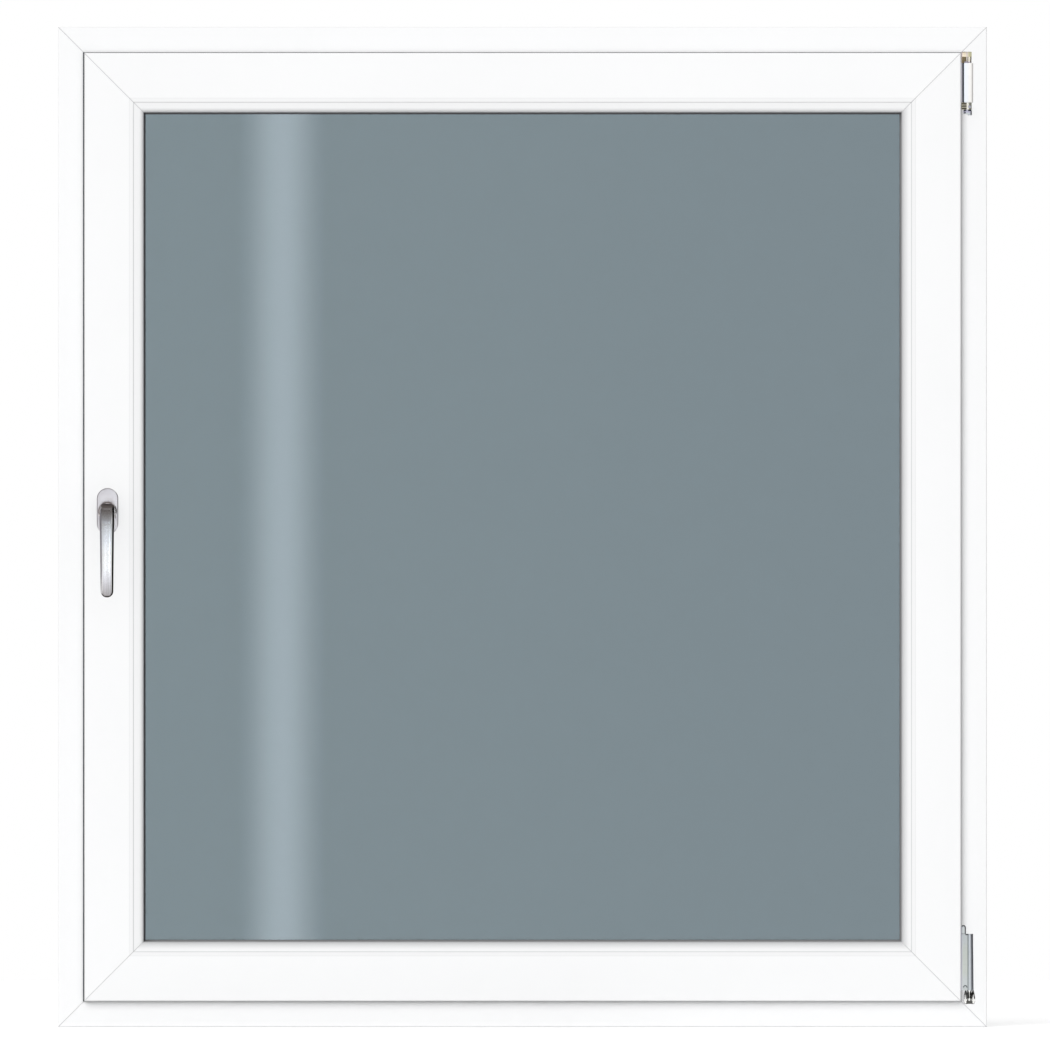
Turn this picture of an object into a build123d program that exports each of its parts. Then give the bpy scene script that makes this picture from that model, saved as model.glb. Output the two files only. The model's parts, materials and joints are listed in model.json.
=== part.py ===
from build123d import *
import os

os.makedirs("parts", exist_ok=True)

# A white plastic tilt-and-turn window, in millimetres. X runs along the wall with the hinges at +X,
# -Y faces the room and +Y the weather, Z is up from the middle of the frame's underside.

# Outer frame profile
frame_width = 1300.0
frame_height = 1400.0
frame_depth = 70.0
frame_body = 44.5
frame_leg_reach = 23.5
frame_leg_thickness = 12.0
frame_leg_bevel_width = 6.0
frame_leg_bevel_depth = 5.0
frame_edge_radius = 1.5
fixing_groove_width = 6.0
fixing_groove_depth = 3.0
fixing_groove_inset = 10.0
weld_groove_depth = 0.6

# Sash profile and how it sits in the frame
sash_overlap = 8.0
sash_flange_thickness = 12.0
sash_face_width = 63.0
sash_leg_thickness = 16.0
sash_leg_bevel_width = 6.0
sash_leg_bevel_depth = 8.0
sash_edge_radius = 2.0
room_gap = 3.0
weather_gap = 3.0
rebate_air = 12.0
hardware_groove_width = 16.0
hardware_groove_depth = 4.0
hardware_groove_from_flange = 5.0

# Glazing
bead_width = 20.0
bead_land = 5.9
bead_step = 0.6
bead_fall = 1.2
bead_nose_radius = 7.0
glass_clearance = 5.0
pane_thickness = 4.0
pane_spacing = 16.0
spacer_width = 13.0
inner_seal_thickness = 3.0
outer_seal_thickness = 3.0
seal_width = 11.5
seal_lip = 2.2
seal_lip_chamfer = 1.0

# Gaskets between the sash and the frame
overlap_seal_width = 6.0
overlap_seal_lips = {"left": 1.8, "right": 0.4, "top": 1.0, "bottom": 0.4}
weather_seal_width = 7.0
weather_seal_from_edge = 1.0

# Drain slots and their caps on the weather face
drain_spacing = 760.0
drain_slot_length = 28.0
drain_slot_height = 5.0
drain_slot_depth = 10.0
drain_slot_level = 16.0
drain_cap_length = 42.0
drain_cap_height = 14.0
drain_cap_thickness = 6.0
drain_cap_wall = 1.4
drain_cap_radius = 3.0

# Handle
handle_backset = 33.0
handle_level = 722.0
rosette_length = 65.0
rosette_width = 30.0
rosette_thickness = 9.0
rosette_edge = 1.2
rosette_notch_width = 2.0
rosette_notch_length = 4.5
rosette_notch_depth = 1.5
rosette_notch_offset = 10.6
rosette_notch_drop = 6.0
neck_diameter = 17.0
running_clearance = 0.3
hub_diameter = 27.0
hub_thickness = 5.0
hub_edge = 1.0
lever_reach = 58.0
lever_thickness = 11.5
lever_top = 10.6
lever_root_drop = 8.0
lever_drop = 120.0
lever_bow_drop = 86.0
lever_bow = 2.4
lever_tip_set_back = 9.6
lever_tip_thickness = 9.0
lever_root_width = 20.4
lever_tip_width = 17.6
lever_tip_radius = 7.8
lever_top_cut = 5.0
lever_top_crown = 1.5
lever_bend_radius = 29.0
lever_inner_radius = 13.0
lever_bow_radius = 120.0
lever_edge = 1.6
spindle_side = 7.0
spindle_length = 35.0
spindle_bore_diameter = 12.0
spindle_bore_depth = 38.0

# Hinges, placed from the sash's right edge
hinge_axis_offset = 11.9
hinge_axis_rise = 11.5
hinge_plate_thickness = 3.0
hinge_pin_clearance = 0.15

# Lower hinge
lower_band_bottom = 51.5
lower_band_length = 79.0
lower_band_front_rise = 1.8
lower_band_back_gap = 2.0
lower_band_width = 10.4
lower_band_groove_width = 0.9
lower_band_groove_depth = 0.9
lower_band_edge = 0.8
lower_barrel_top_radius = 5.2
lower_barrel_bottom_radius = 6.0
lower_tab_width = 6.9
lower_tab_height = 12.5
lower_tab_thickness = 3.0
cup_radius = 8.1
cup_mouth_radius = 6.2
cup_foot_radius = 6.6
cup_height = 19.0
cup_shoulder_height = 10.0
cup_foot_height = 3.0
cup_notch_top_width = 8.6
cup_notch_root_width = 3.2
cup_notch_depth = 8.6
cup_foot_notch_width = 7.8
cup_foot_notch_rise = 2.6
ball_radius = 3.1
pin_cone_radius = 3.4
pin_neck_radius = 1.3
lower_plate_width = 11.0
lower_plate_height = 15.0
cup_web_width = 8.0
cup_back_wall = 2.0

# Upper hinge
upper_hinge_drop = 35.0
upper_head_height = 7.0
upper_neck_height = 8.6
upper_neck_radius = 2.6
upper_neck_web_width = 3.6
upper_cheek_thickness = 1.2
upper_head_edge = 0.9
cover_height = 55.5
cover_width = 12.9
cover_depth = 12.0
cover_radius = 4.0
cover_wall = 1.2
cover_dome = 0.9
cover_gap = 4.2
upper_lug_height = 9.8
upper_lug_rib_count = 3
upper_lug_rib_depth = 0.8
upper_end_height = 8.0
upper_end_groove_height = 1.5
upper_end_groove_depth = 0.8
upper_end_slope = 2.2
upper_end_width = 12.3
upper_end_depth = 11.0
upper_end_wall = 1.4
upper_end_radius = 3.0
upper_pin_diameter = 4.0
upper_bracket_width = 14.0
upper_bracket_depth = 12.5
upper_bracket_gap = 1.0
upper_band_thickness = 4.0
upper_knuckle_radius = 3.7
cover_slit_clearance = 0.2

# Levels across the wall, from the room side to the weather side
frame_room_face = -frame_depth / 2
frame_weather_face = frame_depth / 2
frame_leg_face = frame_weather_face - frame_leg_thickness
flange_back = frame_room_face - room_gap
sash_room_face = flange_back - sash_flange_thickness
sash_weather_face = frame_leg_face - weather_gap
glass_seat = sash_weather_face - sash_leg_thickness
outer_pane_back = glass_seat - outer_seal_thickness
inner_pane_back = outer_pane_back - pane_thickness - pane_spacing
bead_back = inner_pane_back - pane_thickness - inner_seal_thickness

# Distances inward from the frame's outer edge, the same on all four sides
sash_edge = frame_body - sash_overlap
sash_side = frame_body + rebate_air
glazing_floor = sash_edge + sash_face_width
sightline = glazing_floor + bead_width
glass_edge = glazing_floor + glass_clearance
handle_x = -frame_width / 2 + sash_edge + handle_backset
frame_leg_edge = frame_body + frame_leg_reach

# Each side's section plane: its x axis runs inward, its y axis towards the weather,
# and its z axis along the length
sides = {
    "left": (Plane(origin=(-frame_width / 2, 0, 0), x_dir=(1, 0, 0), z_dir=(0, 0, 1)), frame_height),
    "right": (
        Plane(origin=(frame_width / 2, 0, frame_height), x_dir=(-1, 0, 0), z_dir=(0, 0, -1)),
        frame_height,
    ),
    "bottom": (Plane(origin=(frame_width / 2, 0, 0), x_dir=(0, 0, 1), z_dir=(-1, 0, 0)), frame_width),
    "top": (
        Plane(origin=(-frame_width / 2, 0, frame_height), x_dir=(0, 0, -1), z_dir=(1, 0, 0)),
        frame_width,
    ),
}

# Corners of each profile: inward distance, level across the wall, rounding radius
groove_1 = frame_room_face + fixing_groove_inset
groove_2 = frame_weather_face - fixing_groove_inset
frame_corners = [
    (0, frame_room_face, frame_edge_radius),
    (frame_body, frame_room_face, frame_edge_radius),
    (frame_body, frame_leg_face, 0),
    (frame_leg_edge, frame_leg_face, 0),
    (frame_leg_edge, frame_weather_face - frame_leg_bevel_depth, 0),
    (frame_leg_edge - frame_leg_bevel_width, frame_weather_face, frame_edge_radius),
    (0, frame_weather_face, frame_edge_radius),
    (0, groove_2, 0),
    (fixing_groove_depth, groove_2, 0),
    (fixing_groove_depth, groove_2 - fixing_groove_width, 0),
    (0, groove_2 - fixing_groove_width, 0),
    (0, groove_1 + fixing_groove_width, 0),
    (fixing_groove_depth, groove_1 + fixing_groove_width, 0),
    (fixing_groove_depth, groove_1, 0),
    (0, groove_1, 0),
]

groove_front = flange_back + hardware_groove_from_flange
groove_back = groove_front + hardware_groove_width
sash_corners = [
    (sash_edge, flange_back, 0),
    (sash_edge, sash_room_face, sash_edge_radius),
    (glazing_floor, sash_room_face, 0),
    (glazing_floor, glass_seat, 0),
    (sightline, glass_seat, 0),
    (sightline, sash_weather_face - sash_leg_bevel_depth, 0),
    (sightline - sash_leg_bevel_width, sash_weather_face, sash_edge_radius),
    (sash_side, sash_weather_face, sash_edge_radius),
    (sash_side, groove_back, 0),
    (sash_side + hardware_groove_depth, groove_back, 0),
    (sash_side + hardware_groove_depth, groove_front, 0),
    (sash_side, groove_front, 0),
    (sash_side, flange_back, 0),
]

bead_land_edge = glazing_floor + bead_land
bead_corners = [
    (glazing_floor, bead_back, 0),
    (glazing_floor, sash_room_face, 0),
    (bead_land_edge, sash_room_face, 0),
    (bead_land_edge, sash_room_face + bead_step, 0),
    (sightline, sash_room_face + bead_step + bead_fall, bead_nose_radius),
    (sightline, bead_back, 0),
]

# Lines of each profile's room face along which the welded mitre shows as a fine groove
weld_start = -weld_groove_depth
frame_weld = [((weld_start, frame_room_face), (frame_body, frame_room_face))]
sash_weld = [((sash_edge + weld_start, sash_room_face), (glazing_floor, sash_room_face))]
bead_face = sash_room_face + bead_step
bead_weld = [
    ((glazing_floor, sash_room_face), (bead_land_edge, sash_room_face)),
    ((bead_land_edge, bead_face), (sightline, bead_face + bead_fall)),
]


def mitred_member(corners, side, weld_lines):
    # One length of a profile, cut at 45 degrees where it meets its neighbours
    plane, length = sides[side]
    with BuildPart() as member:
        with BuildSketch(plane):
            with BuildLine():
                FilletPolyline(
                    [(inward, level) for inward, level, radius in corners],
                    radius=[radius for inward, level, radius in corners],
                    close=True,
                )
            make_face()
        extrude(amount=length)
        split(bisect_by=Plane(origin=plane.origin, z_dir=plane.z_dir - plane.x_dir))
        far_corner = plane.origin + plane.z_dir * length
        split(bisect_by=Plane(origin=far_corner, z_dir=-plane.z_dir - plane.x_dir))
        for corner, along in ((plane.origin, plane.z_dir), (far_corner, -plane.z_dir)):
            for (near, near_level), (far, far_level) in weld_lines:
                start = corner + (plane.x_dir + along) * near + plane.y_dir * near_level
                end = corner + (plane.x_dir + along) * far + plane.y_dir * far_level
                with BuildSketch(Plane(origin=start, x_dir=plane.x_dir - along, z_dir=end - start)):
                    Rectangle(weld_groove_depth * 2**0.5, weld_groove_depth * 2**0.5, rotation=45)
                extrude(amount=(end - start).length, mode=Mode.SUBTRACT)
    return member.part


def wall_plane(level):
    # The plane of the window at a level across the wall, facing the room
    return Plane.XZ.offset(-level)


def handle_plane(level):
    # The same plane with its origin on the handle's axis
    return Plane(origin=(handle_x, level, handle_level), x_dir=(1, 0, 0), z_dir=(0, -1, 0))


def ring(outer, inner, front, back):
    # A closed rectangular strip between two inward distances and two levels
    with BuildPart() as strip:
        with BuildSketch(wall_plane(back)):
            with Locations((0, frame_height / 2)):
                Rectangle(frame_width - 2 * outer, frame_height - 2 * outer)
                Rectangle(frame_width - 2 * inner, frame_height - 2 * inner, mode=Mode.SUBTRACT)
        extrude(amount=back - front)
    return strip.part


# Outer frame: head, two jambs, and a sill with drain slots through its weather face
frame_names = {"top": "frame_head", "left": "frame_jamb_left", "right": "frame_jamb_right"}
for side, name in frame_names.items():
    with BuildPart() as frame_member:
        add(mitred_member(frame_corners, side, frame_weld))
    frame_member.part.label = name
    export_step(frame_member.part, f"parts/{name}.step")

with BuildPart() as frame_sill:
    add(mitred_member(frame_corners, "bottom", frame_weld))
    with BuildSketch(wall_plane(frame_weather_face)):
        with Locations((0, drain_slot_level)):
            with GridLocations(drain_spacing, 1, 2, 1):
                SlotOverall(drain_slot_length, drain_slot_height)
    extrude(amount=drain_slot_depth, mode=Mode.SUBTRACT)
frame_sill.part.label = "frame_sill"
export_step(frame_sill.part, "parts/frame_sill.step")

# Hooded caps over the drain slots, open below
for name, direction in (("drain_cap_left", -1), ("drain_cap_right", 1)):
    with BuildPart() as drain_cap:
        with BuildSketch(wall_plane(frame_weather_face)):
            with Locations((direction * drain_spacing / 2, drain_slot_level)):
                RectangleRounded(drain_cap_length, drain_cap_height, drain_cap_radius)
        extrude(amount=-drain_cap_thickness)
        outer_face = drain_cap.faces().sort_by(Axis.Y)[-1]
        chamfer(outer_face.edges(), drain_cap_wall)
        mouth_height = drain_cap_height - drain_cap_wall
        with BuildSketch(wall_plane(frame_weather_face)):
            with Locations((direction * drain_spacing / 2, drain_slot_level - drain_cap_wall)):
                Rectangle(drain_cap_length - 2 * drain_cap_radius, mouth_height)
        extrude(amount=-(drain_cap_thickness - drain_cap_wall), mode=Mode.SUBTRACT)
    drain_cap.part.label = name
    export_step(drain_cap.part, f"parts/{name}.step")

# Gasket on the frame's outside leg, pressed by the sash
weather_seal_inner = frame_leg_edge - weather_seal_from_edge
with BuildPart() as frame_gasket:
    add(ring(weather_seal_inner - weather_seal_width, weather_seal_inner, sash_weather_face, frame_leg_face))
frame_gasket.part.label = "frame_gasket"
export_step(frame_gasket.part, "parts/frame_gasket.step")

# Gasket behind the sash's overlap: its lip shows past the sash's edge
with BuildPart() as sash_gasket:
    with BuildSketch(wall_plane(frame_room_face)):
        lips = overlap_seal_lips
        seal_width_outside = frame_width - 2 * sash_edge + lips["left"] + lips["right"]
        seal_height_outside = frame_height - 2 * sash_edge + lips["top"] + lips["bottom"]
        seal_shift_x = (lips["right"] - lips["left"]) / 2
        seal_shift_z = (lips["top"] - lips["bottom"]) / 2
        with Locations((seal_shift_x, frame_height / 2 + seal_shift_z)):
            Rectangle(seal_width_outside, seal_height_outside)
        inner_edge = sash_edge + overlap_seal_width
        with Locations((0, frame_height / 2)):
            Rectangle(frame_width - 2 * inner_edge, frame_height - 2 * inner_edge, mode=Mode.SUBTRACT)
    extrude(amount=room_gap)
sash_gasket.part.label = "sash_gasket"
export_step(sash_gasket.part, "parts/sash_gasket.step")

# Sash: two rails and two stiles, with a bore for the handle's spindle in the left stile
sash_names = {"top": "sash_top_rail", "bottom": "sash_bottom_rail", "right": "sash_stile_right"}
for side, name in sash_names.items():
    with BuildPart() as sash_member:
        add(mitred_member(sash_corners, side, sash_weld))
    sash_member.part.label = name
    export_step(sash_member.part, f"parts/{name}.step")

with BuildPart() as sash_stile_left:
    add(mitred_member(sash_corners, "left", sash_weld))
    with BuildSketch(handle_plane(sash_room_face)):
        Circle(spindle_bore_diameter / 2)
    extrude(amount=-spindle_bore_depth, mode=Mode.SUBTRACT)
sash_stile_left.part.label = "sash_stile_left"
export_step(sash_stile_left.part, "parts/sash_stile_left.step")

# Glazing beads, mitred like the sash
for side in sides:
    with BuildPart() as bead:
        add(mitred_member(bead_corners, side, bead_weld))
    bead.part.label = f"bead_{side}"
    export_step(bead.part, f"parts/bead_{side}.step")

# Double glazing: two panes with a spacer bar between them
pane_width = frame_width - 2 * glass_edge
pane_height = frame_height - 2 * glass_edge
for name, back in (("glass_inner_pane", inner_pane_back), ("glass_outer_pane", outer_pane_back)):
    with BuildPart() as pane:
        with BuildSketch(wall_plane(back)):
            with Locations((0, frame_height / 2)):
                Rectangle(pane_width, pane_height)
        extrude(amount=pane_thickness)
    pane.part.label = name
    export_step(pane.part, f"parts/{name}.step")

with BuildPart() as glass_spacer:
    add(ring(glass_edge, glass_edge + spacer_width, inner_pane_back, inner_pane_back + pane_spacing))
glass_spacer.part.label = "glass_spacer"
export_step(glass_spacer.part, "parts/glass_spacer.step")

# Glazing gaskets, with a bevelled lip past the sightline
seal_inner = sightline + seal_lip
seal_outer = seal_inner - seal_width
seals = {
    "inner_glazing_gasket": (bead_back, bead_back + inner_seal_thickness, Axis.Y, 0),
    "outer_glazing_gasket": (glass_seat - outer_seal_thickness, glass_seat, Axis.Y, -1),
}
for name, (front, back, axis, shown) in seals.items():
    with BuildPart() as seal:
        add(ring(seal_outer, seal_inner, front, back))
        shown_face = seal.faces().sort_by(axis)[shown]
        chamfer(shown_face.inner_wires()[0].edges(), seal_lip_chamfer)
    seal.part.label = name
    export_step(seal.part, f"parts/{name}.step")

# Handle rosette, a flat stadium with a bore for the lever's neck and a small notch
rosette_face = sash_room_face - rosette_thickness
with BuildPart() as handle_rosette:
    with BuildSketch(handle_plane(sash_room_face)):
        SlotOverall(rosette_length, rosette_width, rotation=90)
        Circle(neck_diameter / 2 + running_clearance, mode=Mode.SUBTRACT)
    extrude(amount=rosette_thickness)
    front_face = handle_rosette.faces().sort_by(Axis.Y)[0]
    chamfer(front_face.outer_wire().edges(), rosette_edge)
    with BuildSketch(handle_plane(rosette_face)):
        with Locations((rosette_notch_offset, -rosette_notch_drop)):
            SlotOverall(rosette_notch_length, rosette_notch_width, rotation=90)
    extrude(amount=-rosette_notch_depth, mode=Mode.SUBTRACT)
handle_rosette.part.label = "handle_rosette"
export_step(handle_rosette.part, "parts/handle_rosette.step")

# Handle lever: its bowed side view and its front view, cut out of each other, on a round hub and neck
hub_back = rosette_face - running_clearance
hub_front = hub_back - hub_thickness
neck_back = sash_room_face - running_clearance
lever_front = sash_room_face - lever_reach
lever_back = lever_front + lever_thickness
lever_tip_front = lever_front + lever_tip_set_back
root_side = lever_root_width / 2
side_plane = Plane(origin=(handle_x, 0, handle_level), x_dir=(0, 1, 0), z_dir=(1, 0, 0))
with BuildPart() as handle_lever:
    with BuildSketch(side_plane):
        with BuildLine():
            FilletPolyline(
                [
                    (hub_front, lever_top),
                    (lever_front, lever_top),
                    (lever_front + lever_bow, -lever_bow_drop),
                    (lever_tip_front, -lever_drop),
                    (lever_tip_front + lever_tip_thickness, -lever_drop),
                    (lever_back + lever_bow, -lever_bow_drop),
                    (lever_back, -lever_root_drop),
                    (hub_front, -lever_root_drop),
                ],
                radius=[
                    0,
                    lever_bend_radius,
                    lever_bow_radius,
                    0,
                    0,
                    lever_bow_radius,
                    lever_inner_radius,
                    0,
                ],
                close=True,
            )
        make_face()
    extrude(amount=root_side, both=True)
    with BuildSketch(handle_plane(hub_front)):
        with BuildLine():
            FilletPolyline(
                [
                    (-root_side, lever_top - lever_top_cut),
                    (-root_side + lever_top_crown, lever_top - lever_top_crown),
                    (-root_side + lever_top_cut, lever_top),
                    (root_side - lever_top_cut, lever_top),
                    (root_side - lever_top_crown, lever_top - lever_top_crown),
                    (root_side, lever_top - lever_top_cut),
                    (lever_tip_width / 2, -lever_drop),
                    (-lever_tip_width / 2, -lever_drop),
                ],
                radius=[0, 0, 0, 0, 0, 0, lever_tip_radius, lever_tip_radius],
                close=True,
            )
        make_face()
    extrude(amount=hub_front - lever_front, mode=Mode.INTERSECT)
    chamfer(handle_lever.edges().filter_by(lambda edge: edge.center().Y < hub_front - 1), lever_edge)
    with BuildSketch(Plane(origin=(handle_x, 0, handle_level))):
        with BuildLine():
            Polyline(
                (0, hub_front),
                (hub_diameter / 2 - hub_edge, hub_front),
                (hub_diameter / 2, hub_front + hub_edge),
                (hub_diameter / 2, hub_back),
                (neck_diameter / 2, hub_back),
                (neck_diameter / 2, neck_back),
                (0, neck_back),
                close=True,
            )
        make_face()
    revolve(axis=Axis((handle_x, 0, handle_level), (0, 1, 0)))
handle_lever.part.label = "handle_lever"
export_step(handle_lever.part, "parts/handle_lever.step")

# Square spindle from the lever's neck into the sash
with BuildPart() as handle_spindle:
    with BuildSketch(handle_plane(neck_back)):
        Rectangle(spindle_side, spindle_side)
    extrude(amount=-spindle_length)
handle_spindle.part.label = "handle_spindle"
export_step(handle_spindle.part, "parts/handle_spindle.step")

# Hinge axis, beside the sash's right edge
hinge_edge = frame_width / 2 - sash_edge
hinge_x = hinge_edge + hinge_axis_offset
hinge_y = frame_room_face - hinge_axis_rise
hinge_plate_face = frame_room_face - hinge_plate_thickness

# Lower hinge band: a flat body with a rolled barrel and a rounded tab, on the sash's edge
lower_band_top = lower_band_bottom + lower_band_length
lower_band_front = sash_room_face - lower_band_front_rise
lower_band_back = flange_back - lower_band_back_gap
band_right = hinge_edge + lower_band_width
with BuildPart() as lower_hinge_band:
    with BuildSketch(Plane.XY.offset(lower_band_bottom)):
        with BuildLine():
            Polyline(
                (hinge_edge, lower_band_back),
                (hinge_edge, lower_band_front + lower_band_edge),
                (hinge_edge + lower_band_edge, lower_band_front),
                (band_right, lower_band_front),
                (band_right, lower_band_back),
                close=True,
            )
        make_face()
    extrude(amount=lower_band_length)
    with Locations((hinge_x, hinge_y, lower_band_bottom)):
        Cone(
            lower_barrel_bottom_radius,
            lower_barrel_top_radius,
            lower_band_length,
            align=(Align.CENTER, Align.CENTER, Align.MIN),
        )
    groove_x = band_right - lower_band_groove_width / 2
    with BuildSketch(wall_plane(lower_band_front + lower_band_groove_depth)):
        with Locations((groove_x, lower_band_bottom + lower_band_length / 2)):
            Rectangle(lower_band_groove_width, lower_band_length)
    extrude(amount=lower_barrel_bottom_radius, mode=Mode.SUBTRACT)
    tab_x = hinge_edge + lower_tab_width / 2
    with BuildSketch(wall_plane(lower_band_front + lower_tab_thickness)):
        tab_straight = lower_tab_height - lower_tab_width / 2
        with Locations((tab_x, lower_band_top)):
            Rectangle(lower_tab_width, tab_straight, align=(Align.CENTER, Align.MIN))
        with Locations((tab_x, lower_band_top + tab_straight)):
            Circle(lower_tab_width / 2)
    extrude(amount=lower_tab_thickness - lower_band_edge)
    tab_face = lower_hinge_band.faces().filter_by(Plane.XZ).sort_by(Axis.Z)[-1]
    extrude(tab_face, amount=lower_band_edge, taper=45)
lower_hinge_band.part.label = "lower_hinge_band"
export_step(lower_hinge_band.part, "parts/lower_hinge_band.step")

# Lower pivot: a cup with a forked mouth, open below, on a small plate that it hides
cup_bottom = lower_band_bottom - cup_height
cup_middle = cup_bottom + lower_plate_height / 2
with BuildPart() as lower_pivot_bracket:
    with BuildSketch(wall_plane(frame_room_face)):
        with Locations((hinge_x, cup_middle)):
            Rectangle(lower_plate_width, lower_plate_height)
    extrude(amount=hinge_plate_thickness)
    with BuildSketch(wall_plane(hinge_plate_face)):
        with Locations((hinge_x, cup_middle)):
            Rectangle(cup_web_width, lower_plate_height)
    extrude(amount=hinge_plate_face - hinge_y)
    with BuildSketch(Plane(origin=(hinge_x, hinge_y, cup_bottom), x_dir=(1, 0, 0), z_dir=(0, -1, 0))):
        with BuildLine():
            Polyline(
                (0, 0),
                (cup_foot_radius, 0),
                (cup_radius, cup_foot_height),
                (cup_radius, cup_shoulder_height),
                (cup_mouth_radius, cup_height),
                (0, cup_height),
                close=True,
            )
        make_face()
    revolve(axis=Axis((hinge_x, hinge_y, 0), (0, 0, 1)))
    notch_root = lower_band_bottom - cup_notch_depth
    with BuildSketch(wall_plane(hinge_y + cup_radius - cup_back_wall)):
        with BuildLine():
            Polyline(
                (hinge_x - cup_notch_top_width / 2, lower_band_bottom),
                (hinge_x - cup_notch_root_width / 2, notch_root),
                (hinge_x - cup_foot_notch_width / 2, notch_root - cup_foot_notch_rise),
                (hinge_x - cup_foot_notch_width / 2, cup_bottom),
                (hinge_x + cup_foot_notch_width / 2, cup_bottom),
                (hinge_x + cup_foot_notch_width / 2, notch_root - cup_foot_notch_rise),
                (hinge_x + cup_notch_root_width / 2, notch_root),
                (hinge_x + cup_notch_top_width / 2, lower_band_bottom),
                close=True,
            )
        make_face()
    extrude(amount=2 * cup_radius, mode=Mode.SUBTRACT)
lower_pivot_bracket.part.label = "lower_pivot_bracket"
export_step(lower_pivot_bracket.part, "parts/lower_pivot_bracket.step")

# Lower pivot pin: a cone under the barrel that ends in a faceted ball
ball_level = notch_root - ball_radius
ball_flat = ball_radius * (2**0.5 - 1)
with BuildPart() as lower_pivot_pin:
    with BuildSketch(Plane(origin=(hinge_x, hinge_y, 0), x_dir=(1, 0, 0), z_dir=(0, -1, 0))):
        with BuildLine():
            Polyline(
                (0, lower_band_bottom),
                (pin_cone_radius, lower_band_bottom),
                (pin_neck_radius, notch_root),
                (ball_radius, ball_level + ball_flat),
                (ball_radius, ball_level - ball_flat),
                (ball_flat, ball_level - ball_radius),
                (0, ball_level - ball_radius),
                close=True,
            )
        make_face()
    revolve(axis=Axis((hinge_x, hinge_y, 0), (0, 0, 1)))
lower_pivot_pin.part.label = "lower_pivot_pin"
export_step(lower_pivot_pin.part, "parts/lower_pivot_pin.step")

# Upper hinge, from its head down
upper_head_top = frame_height - upper_hinge_drop
upper_neck_top = upper_head_top - upper_head_height
cover_top = upper_neck_top - upper_neck_height
cover_bottom = cover_top - cover_height
upper_lug_bottom = cover_bottom - upper_lug_height
bracket_left = hinge_edge + upper_bracket_gap
bracket_x = bracket_left + upper_bracket_width / 2
bracket_front = frame_room_face - hinge_plate_thickness - upper_bracket_depth
pin_radius = upper_pin_diameter / 2
pin_bore = pin_radius + hinge_pin_clearance
cover_left = hinge_edge + cover_gap
cover_x = cover_left + cover_width / 2

# Upper hinge bracket: a plate on the frame with a head, a neck between two recesses, and a ribbed lug
head_depth = hinge_plate_thickness + upper_bracket_depth
with BuildPart() as upper_hinge_bracket:
    with BuildSketch(wall_plane(frame_room_face)):
        with Locations((bracket_x, upper_head_top)):
            Rectangle(upper_bracket_width, upper_head_top - upper_lug_bottom, align=(Align.CENTER, Align.MAX))
    extrude(amount=hinge_plate_thickness)
    for level, height in ((upper_neck_top, upper_head_height), (upper_lug_bottom, upper_lug_height)):
        with BuildSketch(Plane.XY.offset(level)):
            with Locations((bracket_x, bracket_front)):
                Rectangle(upper_bracket_width, head_depth, align=(Align.CENTER, Align.MIN))
        extrude(amount=height)
    long_edges = upper_hinge_bracket.edges().filter_by(Axis.X)
    front_edges = long_edges.filter_by(lambda edge: edge.center().Y < hinge_y)
    chamfer(front_edges.sort_by(Axis.Z)[-1], upper_head_edge)
    with BuildSketch(Plane.XY.offset(cover_top)):
        with Locations((bracket_left, frame_room_face)):
            Rectangle(upper_cheek_thickness, upper_bracket_depth, align=(Align.MIN, Align.MAX))
        with Locations((hinge_x, hinge_y)):
            Circle(upper_neck_radius)
            Rectangle(upper_neck_web_width, frame_room_face - hinge_y, align=(Align.CENTER, Align.MIN))
    extrude(amount=upper_neck_height)
    rib_pitch = upper_lug_height / upper_lug_rib_count
    with BuildSketch(wall_plane(bracket_front)):
        with Locations((bracket_left + upper_bracket_width / 4, upper_lug_bottom + upper_lug_height / 2)):
            with GridLocations(upper_bracket_width, rib_pitch, 1, upper_lug_rib_count):
                Rectangle(upper_bracket_width / 2, rib_pitch / 2)
    extrude(amount=-upper_lug_rib_depth, mode=Mode.SUBTRACT)
    with BuildSketch(Plane.XY.offset(upper_lug_bottom)):
        with Locations((hinge_x, hinge_y)):
            Circle(pin_bore)
    extrude(amount=upper_neck_top - upper_lug_bottom, mode=Mode.SUBTRACT)
upper_hinge_bracket.part.label = "upper_hinge_bracket"
export_step(upper_hinge_bracket.part, "parts/upper_hinge_bracket.step")

# Upper hinge band: a plate on the sash's edge that ends in the knuckle inside the cover
with BuildPart() as upper_hinge_band:
    with BuildSketch(Plane.XY.offset(cover_bottom)):
        with Locations((hinge_edge, hinge_y)):
            Rectangle(hinge_x - hinge_edge, upper_band_thickness, align=(Align.MIN, Align.CENTER))
        with Locations((hinge_x, hinge_y)):
            Circle(upper_knuckle_radius)
            Circle(pin_bore, mode=Mode.SUBTRACT)
    extrude(amount=cover_height)
upper_hinge_band.part.label = "upper_hinge_band"
export_step(upper_hinge_band.part, "parts/upper_hinge_band.step")

# Upper hinge cover: a rounded plastic sleeve with a slit for the band
with BuildPart() as upper_hinge_cover:
    with BuildSketch(Plane.XY.offset(cover_bottom)):
        with Locations((cover_x, hinge_y)):
            RectangleRounded(cover_width, cover_depth, cover_radius)
            RectangleRounded(
                cover_width - 2 * cover_wall,
                cover_depth - 2 * cover_wall,
                cover_radius - cover_wall,
                mode=Mode.SUBTRACT,
            )
        with Locations((cover_left, hinge_y)):
            slit_width = upper_band_thickness + 2 * cover_slit_clearance
            Rectangle(2 * cover_radius, slit_width, mode=Mode.SUBTRACT)
    extrude(amount=cover_height)
    cover_ends = upper_hinge_cover.faces().filter_by(Plane.XY)
    outside = cover_depth / 2 - cover_wall / 2
    for end_face in cover_ends:
        middle = (cover_x, hinge_y, end_face.center().Z)
        chamfer([edge for edge in end_face.edges() if edge.distance_to(middle) > outside], cover_dome)
upper_hinge_cover.part.label = "upper_hinge_cover"
export_step(upper_hinge_cover.part, "parts/upper_hinge_cover.step")

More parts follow.
